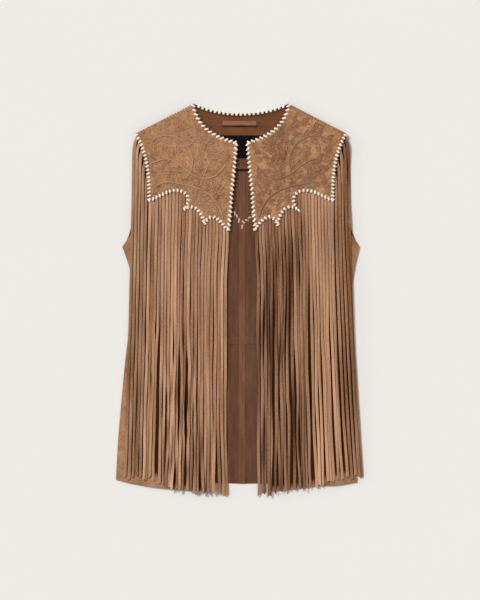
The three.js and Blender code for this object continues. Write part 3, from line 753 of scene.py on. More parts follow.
def back_panel(side, upper):
    sign = SIDES[side]["sign"]
    seam_x = sign * CENTRE_X + SEAM_GAP / 2
    seam = side_seam(side)
    waist_x = look_up(seam, WAIST_Y, by=1, give=0)
    if upper:
        edge = WAIST_Y + SEAM_GAP / 2
        neck = back_neckline()
        outline = stack(
            (seam_x, edge),
            (waist_x, edge),
            seam[(seam[:, 1] > WAIST_Y + 3) & (seam[:, 1] < UNDERARM[1])][::-1],
            back_armhole()[::-1],
            neck[neck[:, 0] > seam_x + 1],
            (seam_x, BACK_NECK_Y),
        )
    else:
        edge = WAIST_Y - SEAM_GAP / 2
        outline = stack(
            (seam_x, BACK_HEM_Y),
            seam[seam[:, 1] < WAIST_Y - 3][::-1],
            (waist_x, edge),
            (seam_x, edge),
        )

    def lift(x, y):
        return back_lift(x, y) + 0.05

    def shade(x, y):
        """Deep shade on the back in the gaps of the armhole's fringe, fading out under the arm."""
        at_armhole = smooth(np.abs(x), *ARM_SHADE["side"]) * smooth(y, *ARM_SHADE["height"])
        return ARM_SHADE["strength"] * at_armhole

    sheet(f"back_{'upper' if upper else 'lower'}_{side}", "suede", "suede_inside", mirrored(outline, sign),
          lift, SUEDE, 5, [INSIDE, FACE, FACE_EDGE], rests_on=["back_yoke"] if upper else [],
          relief=lambda x, y: np.clip(back_relief(x, y), 0, 1), shade=shade)


def seam_allowances():
    """Glued allowances, low strips over the inside of the back, at its centre seam and its waist seam."""
    past = ALLOWANCE["past_seam"]
    strips = [
        ("upper", WAIST_Y + SEAM_GAP / 2, FACING["bottom_y"] - 2, INSIDE_BAND),
        ("lower", BACK_HEM_Y, WAIST_Y - SEAM_GAP / 2, INSIDE_BAND),
        ("waist", WAIST_Y - past, WAIST_Y + ALLOWANCE["waist"], WAIST_BAND),
    ]

    def lift(x, y):
        return back_lift(x, y) + SUEDE - SEAM_GAP

    for part, low, high, material in strips:
        wave = 0 if part == "waist" else ALLOWANCE["wave"]
        for side in SIDES:
            sign = SIDES[side]["sign"]
            near = CENTRE_X + sign * ALLOWANCE["centre"]
            if part == "waist":
                outline = rectangle(near, low, sign * ALLOWANCE["waist_end_x"], high)
            else:
                outline = rectangle(CENTRE_X + past + sign * ALLOWANCE["apart"], low, near, high)
            strip = cloth(f"allowance_{part}_{side}", outline, lift, SEAM_GAP + ALLOWANCE["height"], 3,
                          [material] * 3, lambda x, y: 0.25 + wave * np.sin(x / 6 + y / 11), 0.35)[0]
            place(strip)


def back_scallop():
    """Half of the back yoke's lower edge, from its point to the armhole."""
    stretch = SHOULDER_TIP[0] / (YOKE_CORNER[0] - YOKE_TIP[0])
    wide = (SCALLOP - (YOKE_TIP[0], 0)) * (stretch, 1)
    arch_end = wide[ARCH_STEPS]
    return stack(cubic((0, BACK_YOKE_TIP_Y), (12, 146), (38, 160), arch_end), wide[ARCH_STEPS:])


def back_yoke():
    arm = back_armhole()
    arm = arm[arm[:, 1] > YOKE_CORNER[1] + STRIP_DEPTH]
    half = stack(back_scallop()[1:], arm[::-1], back_neckline()[:-1])
    outline = stack((0, BACK_YOKE_TIP_Y), half, (0, BACK_NECK_Y), mirrored(half, -1)[::-1])
    sheet("back_yoke", "suede", "suede_face", outline, level(SEAM_GAP), SUEDE - SEAM_GAP, 5,
          [INSIDE, FACE, FACE_EDGE], edge_drop=0.1)


# Shade on the facing: over its stitched rim, in a line under the loop and along the neckline
FACING_SHADE = {"rim": (2.2, 4.2), "loop_drop": 5.4, "loop_soft": 1.4, "loop_half": 34, "neck": (4.5, 8),
                "neck_strength": 0.62}


def neck_facing():
    corner = (FACING["side_x"], FACING["side_y"])
    half = stack(
        cubic((FACING["half_bottom"], FACING["bottom_y"]), (95, 232), (118, 270), corner),
        corner,
        back_neckline()[:-1] - TUCK,
    )
    outline = stack(half, (0, BACK_NECK_Y - TUCK), mirrored(half, -1)[::-1])

    def relief(x, y):
        return 0.12 + 0.1 * np.sin(y / 5.5 + 0.3 * np.sin(x / 30)) * smooth(y, 288, 296)

    neck = stack(back_neckline(), mirrored(back_neckline(), -1)[::-1])

    def shade(x, y):
        rim = 1 - smooth(y - FACING["bottom_y"], *FACING_SHADE["rim"])
        below = (y - LOOP["y"] + FACING_SHADE["loop_drop"]) / FACING_SHADE["loop_soft"]
        from_end = FACING_SHADE["loop_half"] - np.abs(x - LOOP["x"])
        under_loop = np.exp(-below ** 2) * smooth(from_end, 0, LOOP["tab"])
        at_neck = 1 - smooth(line_distance(x, y, neck), *FACING_SHADE["neck"])
        return np.maximum(np.maximum(rim, under_loop), FACING_SHADE["neck_strength"] * at_neck)

    sheet("neck_facing", "suede", "suede_inside", outline, level(FACING_BOTTOM + 0.02),
          FACING["thickness"], 1.7, [FACING_FACE, INSIDE, FACE_EDGE],
          rests_on=["back_upper_left", "back_upper_right"], relief=relief, shade=shade)


def neck_label():
    half_w, half_h = LABEL["width"] / 2, LABEL["height"] / 2
    x, y = LABEL["x"], LABEL["y"]
    outline = rectangle(x - half_w, y - half_h, x + half_w, y + half_h)

    def relief(px, py):
        """Folded ends and a shallow pucker along the stitching."""
        rim = np.minimum(half_w - np.abs(px - x), half_h - np.abs(py - y))
        return 0.05 - 0.1 * np.exp(-((rim - 3) / 1.2) ** 2)

    sheet("neck_label", "tape", "label", outline, level(FACING_TOP + SEAM_GAP), LABEL["thickness"], 2,
          [WEAVE] * 3, rests_on=["neck_facing"], relief=relief, edge_drop=0.3)


def hanging_loop():
    half = LOOP["length"] / 2
    rows = []
    for x in np.linspace(-half, half, 60):
        bow = LOOP["rise"] * smooth(half - abs(x), LOOP["tab"], half)
        middle = np.array((LOOP["x"] + x, LOOP["y"], FACING_TOP + SEAM_GAP + bow + STRIP / 2))
        rows.append((middle, np.array((0, 1.0, 0)), np.array((0, 0, 1.0))))
    w, t = LOOP["width"] / 2, STRIP / 2
    section = [(-w, 0), (-w + 0.4, t), (-w + 2.6, t), (-0.3, t), (0, t - 0.3), (0.3, t), (w - 2.6, t),
               (w - 0.4, t), (w, 0), (w - 0.4, -t), (-w + 0.4, -t)]
    vertices, faces = swept(rows, section[::-1])
    obj = new_object("hanging_loop_strip", vertices, faces, [LOOP_FACE])
    sharp_rim(obj, 60)
    place(obj, "hanging_loop")


def front_outline(side):
    settings = SIDES[side]
    sign = settings["sign"]
    seam = side_seam(side)
    outline = stack(
        FRONT_EDGE_AT_HEM,
        spline(settings["front_hem"] + [tuple(seam[-1])], 30),
        seam[:-1][::-1],
        front_armhole()[1:-1][::-1],
        yoke_armhole() - (TUCK, 0),
        (SHOULDER_TIP[0] - TUCK, SHOULDER_TIP[1]),
        front_neckline(sign)[:-1] + (TUCK, -TUCK),
        opening_edge(sign) + (TUCK, -TUCK),
    )
    return mirrored(outline, sign)


def under_fringe(side):
    """Deep shade on the front wherever the fringe covers it."""
    settings = SIDES[side]

    def shade(x, y):
        out = np.abs(x)
        below = smooth(y - look_up(settings["fringe_ends"], out), 2, 12)
        outer = LAST_STRAND_X + settings["fan"] * smooth(-y, -100, 340)
        return below * smooth(outer - out, -5, 5)

    return shade


def front_panel(side, fringe_piece):
    sheet(f"front_{side}", "suede", "suede_face", front_outline(side), front_lift, SUEDE, 4.5,
          [FRONT_FACE, INSIDE, FACE_EDGE], rests_on=[f"back_upper_{side}", f"back_lower_{side}"],
          with_pieces=[fringe_piece], relief=front_relief, shade=under_fringe(side))


def yoke_outline(sign):
    tip = (YOKE_TIP[0] + CENTRE_X * sign, YOKE_TIP[1])
    return stack(tip, SCALLOP[2:], yoke_armhole()[1:], SHOULDER_TIP, front_neckline(sign),
                 opening_edge(sign)[1:-1])


def front_yoke(side):
    sign = SIDES[side]["sign"]
    sheet(f"yoke_{side}", "suede", "suede_face", mirrored(yoke_outline(sign), sign), yoke_lift, SUEDE, 2.6,
          [FACE, INSIDE, FACE_EDGE], rests_on=[f"front_{side}", f"fringe_{side}"], relief=yoke_relief,
          shade=lambda x, y: crease_marks(x, y)[1])


# Fringe

def strand_plan(side, index):
    settings = SIDES[side]
    armhole = index >= YOKE_STRANDS
    hang_x = ARMHOLE_STRANDS[index - YOKE_STRANDS][1] if armhole else FIRST_STRAND_X + STRAND["pitch"] * index
    half = STRAND["width"] / 2
    heights = [scallop_heights(hang_x + d) for d in (-half, 0, half)]
    if armhole:
        root_y = ARMHOLE_STRANDS[index - YOKE_STRANDS][0]
        root_x = look_up(yoke_armhole(), root_y, by=1, give=0) - HANG["root_inset"]
        free_y = root_y - HANG["free_below_armhole"]
    else:
        root_y = max(h[0] for h in heights) + STRAND["root_depth"]
        root_x = hang_x
        free_y = min([h[1] for h in heights] + [root_y]) - HANG["free_below_yoke"]
    end_y = look_up(settings["fringe_ends"], hang_x)
    end_y += HANG["end_spread"] * jitter(index, settings["sign"] + 3)
    return {**settings, "index": index, "hang_x": hang_x, "root_x": root_x, "root_y": root_y,
            "free_y": free_y, "end_y": end_y}


def parted(plan, fall):
    """How far the gaps that open between clumps push a strand outward."""
    push = 0 * fall
    for x, gap, opens in plan["partings"]:
        away = plan["hang_x"] - x
        side = 1 if away > 0 else -1
        opened = smooth(fall, opens, opens + HANG["parting_opens_over"])
        push = push + side * gap / 2 * math.exp(-abs(away) / HANG["parting_reach"]) * opened
    return push


def own_wave(index, salt, length, y):
    """A strand's own slow wave along Y, with a length and phase of its own."""
    own = length[0] + length[1] * jitter(index, salt)
    return np.sin(y / own + HANG["phase_spread"] * jitter(index, salt + 1))


def pair_gap(plan, pair, y):
    """How far two neighbours part at each height: a few long wedges that open and close."""
    at = FIRST_STRAND_X + STRAND["pitch"] * (pair + 0.5)
    fall = (YOKE_CORNER[1] - y) / (YOKE_CORNER[1] - plan["end_y"])
    strength = plan["calm"] + (1 - plan["calm"]) * smooth(fall, *plan["calm_fall"])
    shortest, longest = plan["gap_half_length"]
    opened = 0 * y
    for k in range(GAPS["on_pair"]):
        salt = GAP_SALT + 3 * k + 20 * plan["sign"]
        chance = (jitter(pair, salt) + 1) / 2
        if chance > GAPS["share"]:
            continue
        middle = GAPS["top"] - GAPS["length"] * (k + 0.5 + 0.5 * jitter(pair, salt + 1)) / GAPS["on_pair"]
        half = shortest + (longest - shortest) * (jitter(pair, salt + 2) + 1) / 2
        widest = plan["widest_gap"] * (0.4 + 0.6 * chance / GAPS["share"])
        opened = opened + widest * smooth(1 - np.abs(y - middle) / half, 0, 1)
    return at, opened * look_up(plan["busy"], at) * strength


def jostled(plan, y):
    """How far the gaps between neighbours push a strand and those close to it."""
    shift = 0 * y
    for pair in range(YOKE_STRANDS + len(ARMHOLE_STRANDS) - 1):
        at, opened = pair_gap(plan, pair, y)
        away = plan["hang_x"] - at
        side = 1 if away > 0 else -1
        shift = shift + side * opened / 2 * math.exp(-abs(away) / GAPS["reach"])
    return shift


def strand_course(plan, y):
    """A strand's middle seen from above, its roll and its freedom at each height."""
    fall = np.clip((plan["free_y"] - y) / (plan["free_y"] - plan["end_y"]), 0, 1)
    outward = (plan["hang_x"] - FIRST_STRAND_X) / (LAST_STRAND_X - FIRST_STRAND_X)
    index, sign = plan["index"], plan["sign"]
    drift = HANG["drift"] * (1 - outward) * smooth(fall, 0, HANG["drift_end"])
    spread = outward * HANG["lean"] * fall
    spread = spread + plan["fan"] * outward ** HANG["fan_power"] * fall ** plan["fan_power"]
    phase = 2 * math.pi * plan["hang_x"] / HANG["clump_length"] + plan["clump_phase"] + fall
    bunch = plan["clump"] * fall * np.sin(phase)
    sway = plan["wander"] * fall * np.sin(HANG["sway_turns"] * fall + math.pi * jitter(index, 5))
    stray = HANG["stray"] * fall * own_wave(index, STRAY_SALT + sign, HANG["stray_length"], y)
    steady = 1 - outward ** HANG["steady_power"]
    swing = (plan["hang_x"] - plan["root_x"]) * np.exp(-np.maximum(0, plan["root_y"] - y) / HANG["swing"])
    aside = drift + spread + bunch + (sway + stray) * steady + parted(plan, fall)
    aside = aside + jostled(plan, y) * smooth(fall, *HANG["gaps_open_over"])
    aside = aside + look_up(plan["close_up"], plan["hang_x"]) * smooth(fall, *HANG["close_up_over"])
    x = sign * (plan["hang_x"] - swing + aside) + CENTRE_X * (1 - outward)
    free = smooth(plan["free_y"] - y, 0, HANG["loosen_over"])
    low, high = plan["twist_range"]
    most = low + (high - low) * look_up(plan["twist"], plan["hang_x"]) * smooth(fall, *plan["twist_fall"])
    turn = own_wave(index, TURN_SALT + sign, plan["turn_length"], y)
    roll = free * (most * turn - sign * look_up(plan["facing"], plan["hang_x"]))
    return x, roll, free


class Pile:
    """The height of what already lies on a front, so that each strand rests on those below it."""

    def __init__(self, side):
        self.x = COLUMN["first"] + COLUMN["step"] * np.arange(COLUMN["count"])
        self.y = ROW["top"] - ROW["step"] * np.arange(ROW["count"])
        gx, gy = np.meshgrid(self.x, self.y)
        outline = front_outline(side)
        beyond = np.where(inside(gx, gy, outline), 0, outline_distance(gx, gy, outline))
        sunk = PAST_FRONT["sink"] * smooth(beyond, *PAST_FRONT["over"])
        self.top = (front_lift(gx, gy) + SUEDE) * (1 - sunk) + SEAM_GAP

    def lay(self, first, x, roll, width, thick):
        """Heights at which a strand's middle rests, one for each row from the first."""
        cos, tan = np.cos(roll), np.tan(roll)
        spans = []
        rest = np.zeros(len(x))
        for k in range(len(x)):
            reach = width[k] / 2 * cos[k]
            low = int((x[k] - reach - COLUMN["first"]) / COLUMN["step"])
            high = int((x[k] + reach - COLUMN["first"]) / COLUMN["step"]) + 2
            slope = np.clip(self.x[low:high] - x[k], -reach, reach) * tan[k]
            half = thick[k] / 2 / cos[k]
            rest[k] = np.max(self.top[first + k, low:high] - slope) + half
            spans.append((low, high, slope, half))
        z = settle(rest, 3)
        for k, (low, high, slope, half) in enumerate(spans):
            row = self.top[first + k]
            row[low:high] = np.maximum(row[low:high], z[k] + slope + half + STRAND["clearance"])
        return z


def settle(values, reach):
    """A smooth line that stays above every value."""
    padded = np.pad(values, reach, mode="edge")
    most = np.array([padded[k:k + 2 * reach + 1].max() for k in range(len(values))])
    padded = np.pad(most, reach, mode="edge")
    return np.array([padded[k:k + 2 * reach + 1].mean() for k in range(len(values))])


SECTION = [(-1, -0.55), (-1, 0.55), (-0.84, 1), (-0.3, 1), (0.3, 1), (0.84, 1), (1, 0.55), (1, -0.55),
           (0.84, -1), (-0.84, -1)]
# Sides of the section that take the cut edges' colour, which is partly painted shade.
EDGE_FACES = (0, 6)


def strand(plan, pile):
    """One cut strand: a flat ribbon, cupped, twisted and laid on those below, with a slanting cut end."""
    first = int(math.ceil((ROW["top"] - plan["root_y"]) / ROW["step"]))
    last = int((ROW["top"] - plan["end_y"]) / ROW["step"])
    y = pile.y[first:last + 1]
    x, roll, free = strand_course(plan, y)
    index = plan["index"]
    wave = np.sin(y / STRAND["width_wave"] + 5 * jitter(index, 2))
    width = STRAND["width"] * (1 - STRAND["width_varies"] * (1 - wave))
    thick = STRAND["root_thickness"] + (STRAND["thickness"] - STRAND["root_thickness"]) * free
    z = pile.lay(first, x, roll, width, thick)
    middle = np.stack([x, y, z], axis=1)
    run = np.gradient(middle, axis=0)
    run /= np.linalg.norm(run, axis=1)[:, None]
    flat_across = np.stack([-run[:, 1], run[:, 0], 0 * y], axis=1)
    flat_across /= np.linalg.norm(flat_across, axis=1)[:, None]
    normal = np.cross(run, flat_across)
    normal *= np.sign(normal[:, 2])[:, None]
    cos, sin = np.cos(roll)[:, None], np.sin(roll)[:, None]
    across = flat_across * cos + normal * sin
    out = normal * cos - flat_across * sin
    cup = STRAND["cup"] * free * jitter(index, 17)
    slant = STRAND["slant"] * jitter(index, 19)
    u, v = (np.array(part)[None, :, None] for part in zip(*SECTION))
    width, thick, cup = (part[:, None, None] for part in (width, thick, cup))
    vertices = middle[:, None] + across[:, None] * (u * width / 2)
    vertices = vertices + out[:, None] * (v * thick / 2 + cup * (u * u - STRAND["cup_middle"]))
    vertices[-1, :, 1] += slant * u[0, :, 0]
    n, count = len(SECTION), len(y)
    faces = [f[:1] + f[:0:-1] for f in tube_faces(count, n)]
    slots = [1 if k % n in EDGE_FACES else 0 for k in range(n * (count - 1))]
    return vertices.reshape(-1, 3), faces, slots + [1, 1]


def fringe(side):
    batch = Batch()
    pile = Pile(side)
    total = YOKE_STRANDS + len(ARMHOLE_STRANDS)
    for index in list(range(0, total, 2)) + list(range(1, total, 2)):
        plan = strand_plan(side, index)
        vertices, faces, slots = strand(plan, pile)
        # The tone by place is partly painted shade; the jitter adds each strand's own tone.
        tone = look_up(plan["strand_tone_and_shade"], plan["hang_x"])
        tone += STRAND["tone_spread"] * jitter(index, 23 + plan["sign"])
        batch.add(vertices, faces, tone, slots)
    obj = batch.make(f"fringe_{side}_strands", [FRINGE, FRINGE_CUT_EDGE_AND_SHADE], f"fringe_{side}")
    sharp_rim(obj)
    return obj


# Lacing

LACE_SIZE = {"width": 3.6, "thick": 1.0, "bite": 3.7, "over": 1.0}
BACK_NECK_LACE = {**LACE_SIZE, "width": 4.1, "bite": 3.33}
# Each laced edge: the pitch of its stitches, and how far they lean along it by the distance from the middle
LACED_EDGES = {
    "neck": (7.7, [(0, 2.2)]),
    "opening": (8.0, [(0, 2.1)]),
    "scallop": (6.5, [(22, 1.0), (60, 1.4), (64, 0.4), (96, 0.8), (112, -0.6), (128, 1.2), (162, 1.9)]),
    "armhole": (6.5, [(0, 1.0)]),
    "back_neck": (7.4, [(0, -0.9)]),
    "back_yoke": (7.4, [(0, 1.2)]),
}
# How a whip stitch varies its lean, turns down at the edge and ends below it
WHIP = {"lean_varies": 0.35, "turns": 0.45, "side": 0.2, "under": 1.2, "past": 0.8}
# Points of a stitch by their share of its length and their height: wrapped, small, and outside the back
WHIP_RISES = [(0, -0.25), (0.12, 0.17), (0.5, 0.55), (0.84, 0.37)]
SHORT_RISES = [(0, -0.5), (0.15, 0.25), (0.5, 0.55), (0.85, 0.25), (1, -0.5)]
OUTSIDE_RISES = [(0, 0.5), (0.15, 0.42), (0.5, 0.4), (0.85, 0.42), (1, 0.7)]
# Width and thickness of the small stitches: inside the back, outside it, and at the shoulders
V_LACE = (3.1, 1.0)
OUTSIDE_LACE = (3.2, 0.7)
SHOULDER = {"pitch": 5.2, "far": 4.6, "near": 0.4, "thick_count": 12, "thick": (1.9, 0.7),
            "thin": (1.2, 0.4)}
CUSP_CLEARANCE = 3.4
TANGENT_REACH = 1.5
LACE_SECTION = [(-1, 0), (-0.8, 0.75), (0, 1), (0.8, 0.75), (1, 0), (0.8, -0.75), (0, -1), (-0.8, -0.75)]
# Where the back yoke's lace shows inside: x, y, angle in degrees and length
V_STITCHES = [(-10.8, 152.0, 100, 7), (-6.8, 147.2, 112, 7), (-3.3, 139.8, 80, 7.5), (2.2, 129.0, 82, 7.5),
              (4.3, 136.9, 135, 7), (10.4, 140.3, 160, 6.5), (15.6, 145.0, 15, 6), (20.8, 150.7, 45, 5)]


def along(path, pitch, inset=0.5):
    """Evenly spaced places on a path: point and unit tangent."""
    path = np.array(path, float)
    lengths = np.concatenate([[0], np.cumsum(np.hypot(*np.diff(path, axis=0).T))])
    count = max(1, round(lengths[-1] / pitch))
    places = []
    for k in range(count):
        s = (k + inset) * lengths[-1] / count
        behind, p, ahead = (np.array([np.interp(s + d, lengths, path[:, i]) for i in (0, 1)])
                            for d in (-TANGENT_REACH, 0, TANGENT_REACH))
        places.append((p, (ahead - behind) / np.hypot(*(ahead - behind))))
    return places


def lace_tube(batch, points, width, thick, tone):
    """A flat lace through a few 3D points, rounded on its outside."""
    p = spline(points, 12)
    run = np.gradient(p, axis=0)
    run /= np.linalg.norm(run, axis=1)[:, None]
    flat = p[-1] - p[0]
    side = np.cross((0, 0, 1.0), (flat[0], flat[1], 0))
    side /= np.linalg.norm(side)
    rows = []
    for middle, tangent in zip(p, run):
        out = np.cross(tangent, side)
        rows.append((middle, side * (width / 2), out / np.linalg.norm(out) * (thick / 2)))
    vertices, faces = swept(rows, LACE_SECTION)
    batch.add(vertices, faces, tone)


def whip_stitches(batch, edge_name, path, inward, sign, top, low, lace=LACE_SIZE):
    """Laces that come up through a hole, cross the edge and go down round it."""
    pitch, leans = LACED_EDGES[edge_name]
    placed = []
    for k, (p, t) in enumerate(along(path, pitch)):
        n = left_of(t) * inward
        lean = look_up(leans, p[0]) + WHIP["lean_varies"] * jitter(k, pitch)
        hole = p + n * lace["bite"] - t * lean
        edge = p - n * lace["over"] + t * lean
        heart = (hole + edge) / 2
        if any(np.hypot(*(heart - other)) < CUSP_CLEARANCE for other in placed):
            continue
        placed.append(heart)
        points = []
        for share, rise in WHIP_RISES:
            x, y = (hole + (edge - hole) * share) * (sign, 1)
            points.append((x, y, height_at(top, x, y) + rise))
        x, y = edge * (sign, 1)
        high, base = height_at(top, x, y), height_at(low, x, y)
        under = (p + n * WHIP["under"] + t * (lean + WHIP["past"])) * (sign, 1)
        side = (high + base) / 2 - WHIP["side"]
        points += [(x, y, high - WHIP["turns"]), (x, y, side), (*under, base)]
        lace_tube(batch, points, lace["width"], lace["thick"], jitter(k, pitch + 3))


def lacing(side):
    """The lace round the neckline, front edge, scallop and armhole of one front yoke."""
    sign = SIDES[side]["sign"]
    batch = Batch()

    def under_front(x, y):
        return front_lift(x, y) + 0.6

    def under_yoke(x, y):
        return yoke_lift(x, y) - 0.1

    tip = (YOKE_TIP[0] + CENTRE_X * sign, YOKE_TIP[1])
    edges = [
        ("neck", front_neckline(sign), 1, under_front),
        ("opening", opening_edge(sign), 1, under_front),
        ("scallop", stack(tip, SCALLOP[2:]), 1, under_yoke),
        ("armhole", stack(SHOULDER_TIP, yoke_armhole()[::-1]), -1, under_yoke),
    ]
    for name, path, inward, low in edges:
        whip_stitches(batch, name, path, inward, sign, yoke_top, low)
    batch.make(f"lacing_{side}", [LACE])


def shoulder_stitching(side):
    """Thin stitches across the shoulder seam, thickest near the neck."""
    sign = SIDES[side]["sign"]
    batch = Batch()
    for k, (p, t) in enumerate(along(stack(NECK_POINT, SHOULDER_TIP), SHOULDER["pitch"])):
        n = -left_of(t)
        a = (p + n * SHOULDER["far"] - t * 1.2) * (sign, 1)
        b = (p + n * SHOULDER["near"] + t * (0.8 + 0.5 * jitter(k, 8))) * (sign, 1)
        size = SHOULDER["thick" if k < SHOULDER["thick_count"] else "thin"]
        short_stitch(batch, a, b, yoke_top, size, jitter(k, 9))
    thread = SHOULDER_THREAD if side == "left" else THREAD[side]
    batch.make(f"shoulder_stitches_{side}", [thread])


def back_neck_lacing():
    batch = Batch()
    half = back_neckline()
    path = stack(half[2:], mirrored(half[2:-1], -1)[::-1])
    whip_stitches(batch, "back_neck", path, 1, 1, level(FACING_TOP + 0.45), level(0.5), BACK_NECK_LACE)
    batch.make("lacing_back_neck", [LACE])


def short_stitch(batch, a, b, surface, size, tone=0.0, rises=SHORT_RISES):
    """A stitch that lies on a surface, as a rule with its ends sunk into their holes."""
    points = []
    for share, rise in rises:
        x, y = a + (b - a) * share
        points.append((x, y, height_at(surface, x, y) + rise))
    lace_tube(batch, points, *size, tone)


def back_yoke_lacing():
    """The back yoke's lace: a V of small stitches inside, and the whole edge outside."""
    batch = Batch()
    for x, y, angle, length in V_STITCHES:
        half = towards(math.radians(angle)) * length / 2
        spot = np.array((x, y))
        short_stitch(batch, spot - half, spot + half, lambda x, y: back_lift(x, y) + SUEDE + 0.6, V_LACE)
    batch.make("lacing_back_inside", [LACE_SHADED])
    batch = Batch()
    pitch, ((_, lean),) = LACED_EDGES["back_yoke"]
    for sign in (-1, 1):
        for p, t in along(back_scallop(), pitch, 0.6):
            n = left_of(t)
            a = (p + n * 4 - t * lean) * (sign, 1)
            b = (p - n + t * lean) * (sign, 1)
            short_stitch(batch, a, b, level(0), OUTSIDE_LACE, rises=OUTSIDE_RISES)
    batch.make("lacing_back_yoke", [LACE])


# Stitched vines, in outward coordinates

VINES = [
    (1.7, [(27, 236), (44, 218), (66, 213), (88, 222), (108, 238), (130, 247), (156, 240)]),
    (1.7, [(31, 144), (38, 164), (54, 184), (78, 197), (104, 203), (130, 207), (152, 198)]),
    (1.5, [(88, 222), (84, 246), (92, 268), (110, 284), (134, 288), (154, 281)]),
    (1.1, [(66, 213), (58, 234), (46, 252), (30, 262)]),
    (1.1, [(54, 184), (40, 190), (29, 202), (27, 216)]),
    (1.1, [(108, 238), (118, 224), (134, 221), (150, 227)]),
    (1.1, [(92, 268), (80, 284), (82, 302), (96, 314)]),
    (1.1, [(110, 284), (124, 298), (142, 301)]),
    (1.1, [(78, 197), (77, 182), (67, 170), (54, 167)]),
    (1.0, [(58, 234), (66, 252), (62, 272), (50, 284)]),
    (1.0, [(130, 247), (138, 258), (136, 272), (124, 276)]),
    (1.0, [(104, 203), (112, 192), (126, 192)]),
    (1.0, [(88, 222), (98, 214), (112, 216), (122, 214)]),
    (1.0, [(84, 246), (72, 256), (70, 268)]),
]
FLOWERS = [(52, 264, 8.5), (113, 262, 9.5), (44, 204, 8), (72, 236, 8), (152, 262, 7.5), (46, 156, 6.5),
           (112, 312, 8), (66, 288, 7.5), (96, 184, 7), (30, 176, 5.5), (96, 290, 6), (140, 232, 5.5),
           (62, 198, 5), (32, 246, 5)]
LEAF = {"spacing": 9.5, "length": 14.5, "width": 5.8, "angle": 0.75, "angle_varies": 0.15, "size": 0.95,
        "size_varies": 0.2, "heart": 0.6, "rib": 0.75, "room": 4.2, "apart": 3}
# Weights of the stitched lines beside the vines' own
WEIGHTS = {"leaf": 1.0, "rib": 0.8, "curl": 0.9, "petal": 1.0, "ring": 1.2}
CURL = {"radius": 4.5, "tightens": 3.4, "winds": 2.6}
HEART_RADIUS = 1.5
PETALS = 5
CORD = {"width": 1.8, "height": 0.85, "step": 1.6}
CORD_SECTION = [tuple(towards(a)) for a in np.linspace(math.pi, 0, 5)] + [(0.8, -0.6), (-0.8, -0.6)]
EDGE_CLEARANCE = 6.5


def petal_loop(heart, angle, radius):
    """Outline of one petal that starts and ends at the flower's heart."""
    points = []
    for t in np.linspace(0, 1, 13):
        points.append(heart + radius * math.sin(math.pi * t) ** 0.6 * towards(angle + (t - 0.5) * 1.15))
    return points


def leaf_loop(p, ahead, length, width):
    side = left_of(ahead)
    points = []
    for t in np.linspace(0, 2, 21):
        s = t if t <= 1 else 2 - t
        bulge = math.sin(math.pi * s ** 0.8) * width / 2 * (1 if t <= 1 else -1)
        points.append(p + ahead * length * s + side * bulge)
    return points


def vine_leaves(path, number, taken):
    """Leaves with ribs on alternate sides of a vine, where nothing else is stitched."""
    lines = []
    for k, (p, heading) in enumerate(along(path, LEAF["spacing"])):
        turn = 1 if (k + number) % 2 else -1
        angle = LEAF["angle"] + LEAF["angle_varies"] * jitter(k, number)
        ahead = towards(math.atan2(heading[1], heading[0]) + turn * angle)
        size = LEAF["size"] + LEAF["size_varies"] * jitter(k + 9, number)
        length = LEAF["length"] * size
        heart = p + ahead * length * LEAF["heart"]
        if any(np.hypot(*(heart - spot)) < room + LEAF["apart"] for spot, room in taken):
            continue
        taken.append((heart, LEAF["room"]))
        lines.append((leaf_loop(p, ahead, length, LEAF["width"] * size), WEIGHTS["leaf"]))
        lines.append(([p, p + ahead * length * LEAF["rib"]], WEIGHTS["rib"]))
    return lines


def curl(end, heading, turn):
    """A tendril that winds up at the end of a vine."""
    start = math.atan2(heading[1], heading[0]) - turn * math.pi / 2
    centre = end - CURL["radius"] * towards(start)
    points = []
    for t in np.linspace(0, 1, 22):
        radius = CURL["radius"] - CURL["tightens"] * t
        points.append(centre + radius * towards(start + turn * t * CURL["winds"] * math.pi))
    return points


def vine_lines():
    """All stitched lines with their weights: vines, curls, leaves with ribs, and flowers."""
    lines = []
    taken = [(np.array((x, y)), r) for x, y, r in FLOWERS]
    for number, (weight, vine) in enumerate(VINES):
        path = spline(vine, 12 * len(vine))
        lines.append((path, weight))
        lines.extend(vine_leaves(path, number, taken))
        lines.append((curl(path[-1], path[-1] - path[-2], 1 if number % 2 else -1), WEIGHTS["curl"]))
    for number, (*heart, radius) in enumerate(FLOWERS):
        turn = jitter(number, 6)
        for k in range(PETALS):
            lines.append((petal_loop(heart, turn + k * 2 * math.pi / PETALS, radius), WEIGHTS["petal"]))
        ring = [heart + HEART_RADIUS * towards(a) for a in np.linspace(0, 2 * math.pi, 9)]
        lines.append((ring, WEIGHTS["ring"]))
    return lines


def embroidery(side):
    """Raised tone-on-tone stitching that follows the yoke's face."""
    sign = SIDES[side]["sign"]
    outline = yoke_outline(sign)
    batch = Batch()
    for line, weight in vine_lines():
        p = spaced(np.array(line, float), CORD["step"])
        clear = outline_distance(p[:, 0], p[:, 1], outline) > EDGE_CLEARANCE
        p = p[clear & inside(p[:, 0], p[:, 1], outline)]
        if len(p) < 3:
            continue
        x, y = sign * p[:, 0], p[:, 1]
        z = yoke_top(x, y)
        run = np.stack([np.gradient(x), np.gradient(y)], axis=1)
        run /= np.maximum(np.linalg.norm(run, axis=1), 1e-6)[:, None]
        rows = []
        for k in range(len(p)):
            across = np.array((*left_of(run[k]), 0)) * CORD["width"] / 2 * weight
            rows.append((np.array((x[k], y[k], z[k])), across, np.array((0, 0, CORD["height"] * weight))))
        batch.add(*swept(rows, CORD_SECTION))
    batch.make(f"embroidery_{side}", [THREAD[side]])


# The stage, light and camera

FLOOR = {"half_size": 6.0, "below": 0.0002}


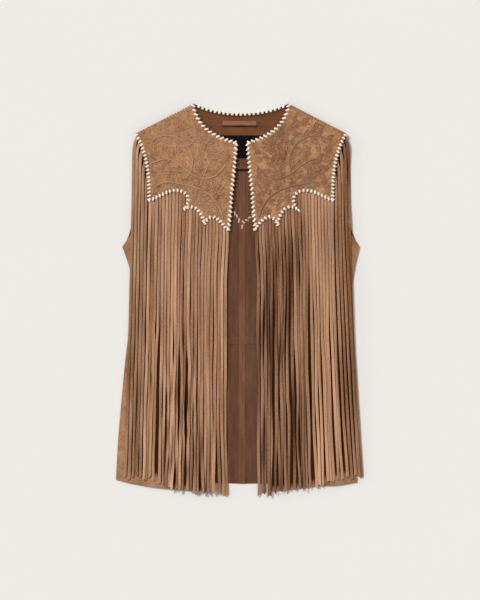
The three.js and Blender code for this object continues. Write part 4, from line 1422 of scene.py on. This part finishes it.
def floor():
    size = FLOOR["half_size"]
    vertices = [(-size, -size, 0), (size, -size, 0), (size, size, 0), (-size, size, 0)]
    mesh = bpy.data.meshes.new("floor")
    mesh.from_pydata(vertices, [], [(0, 1, 2, 3)])
    mesh.materials.append(floor_material())
    obj = bpy.data.objects.new("floor", mesh)
    obj.location.z = -FLOOR["below"]
    bpy.context.scene.collection.objects.link(obj)


# Lights: name, energy, angle in degrees, direction that it comes from
SUNS = [("key", 2.36, 16, (-0.72, 0.62, 1.0)), ("rake", 0.6, 18, (-0.9, 0.35, 0.24))]
SUN_COLOUR = (1.0, 0.985, 0.96)
SKY = {"Color": (1.0, 0.985, 0.965, 1), "Strength": 0.42}


def light():
    for name, energy, angle, direction in SUNS:
        sun = bpy.data.lights.new(name, "SUN")
        sun.energy = energy
        sun.angle = math.radians(angle)
        sun.color = SUN_COLOUR
        obj = bpy.data.objects.new(name, sun)
        obj.rotation_euler = Vector(direction).to_track_quat("Z", "Y").to_euler()
        bpy.context.scene.collection.objects.link(obj)
    world = bpy.data.worlds.new("studio")
    world.use_nodes = True
    for key, value in SKY.items():
        world.node_tree.nodes["Background"].inputs[key].default_value = value
    bpy.context.scene.world = world


PHOTO = {"width": 480, "height": 600, "mm_per_pixel": 1.75, "middle_x": 241, "middle_y": 300.5}
CAMERA_HEIGHT = 5.0
SENSOR_MM = 36


def camera():
    """Straight down, framed as the photo is, from far enough to be nearly free of perspective."""
    data = bpy.data.cameras.new("camera")
    tall = PHOTO["height"] * PHOTO["mm_per_pixel"] * MM
    data.sensor_width = SENSOR_MM
    data.lens = SENSOR_MM * CAMERA_HEIGHT / tall
    data.clip_end = 10 * CAMERA_HEIGHT
    obj = bpy.data.objects.new("camera", data)
    x = (PHOTO["width"] / 2 - PHOTO["middle_x"]) * PHOTO["mm_per_pixel"] + SHIFT[0]
    y = (PHOTO["middle_y"] - PHOTO["height"] / 2) * PHOTO["mm_per_pixel"] + SHIFT[1]
    obj.location = (x * MM, y * MM, CAMERA_HEIGHT)
    bpy.context.scene.collection.objects.link(obj)
    bpy.context.scene.camera = obj
    bpy.context.scene.view_settings.view_transform = "Standard"


floor()
light()
camera()
back_yoke()
for side in SIDES:
    back_panel(side, True)
    back_panel(side, False)
seam_allowances()
neck_facing()
neck_label()
hanging_loop()
back_neck_lacing()
back_yoke_lacing()
for side in SIDES:
    strands = fringe(side)
    front_panel(side, strands)
    front_yoke(side)
    lacing(side)
    shoulder_stitching(side)
    embroidery(side)
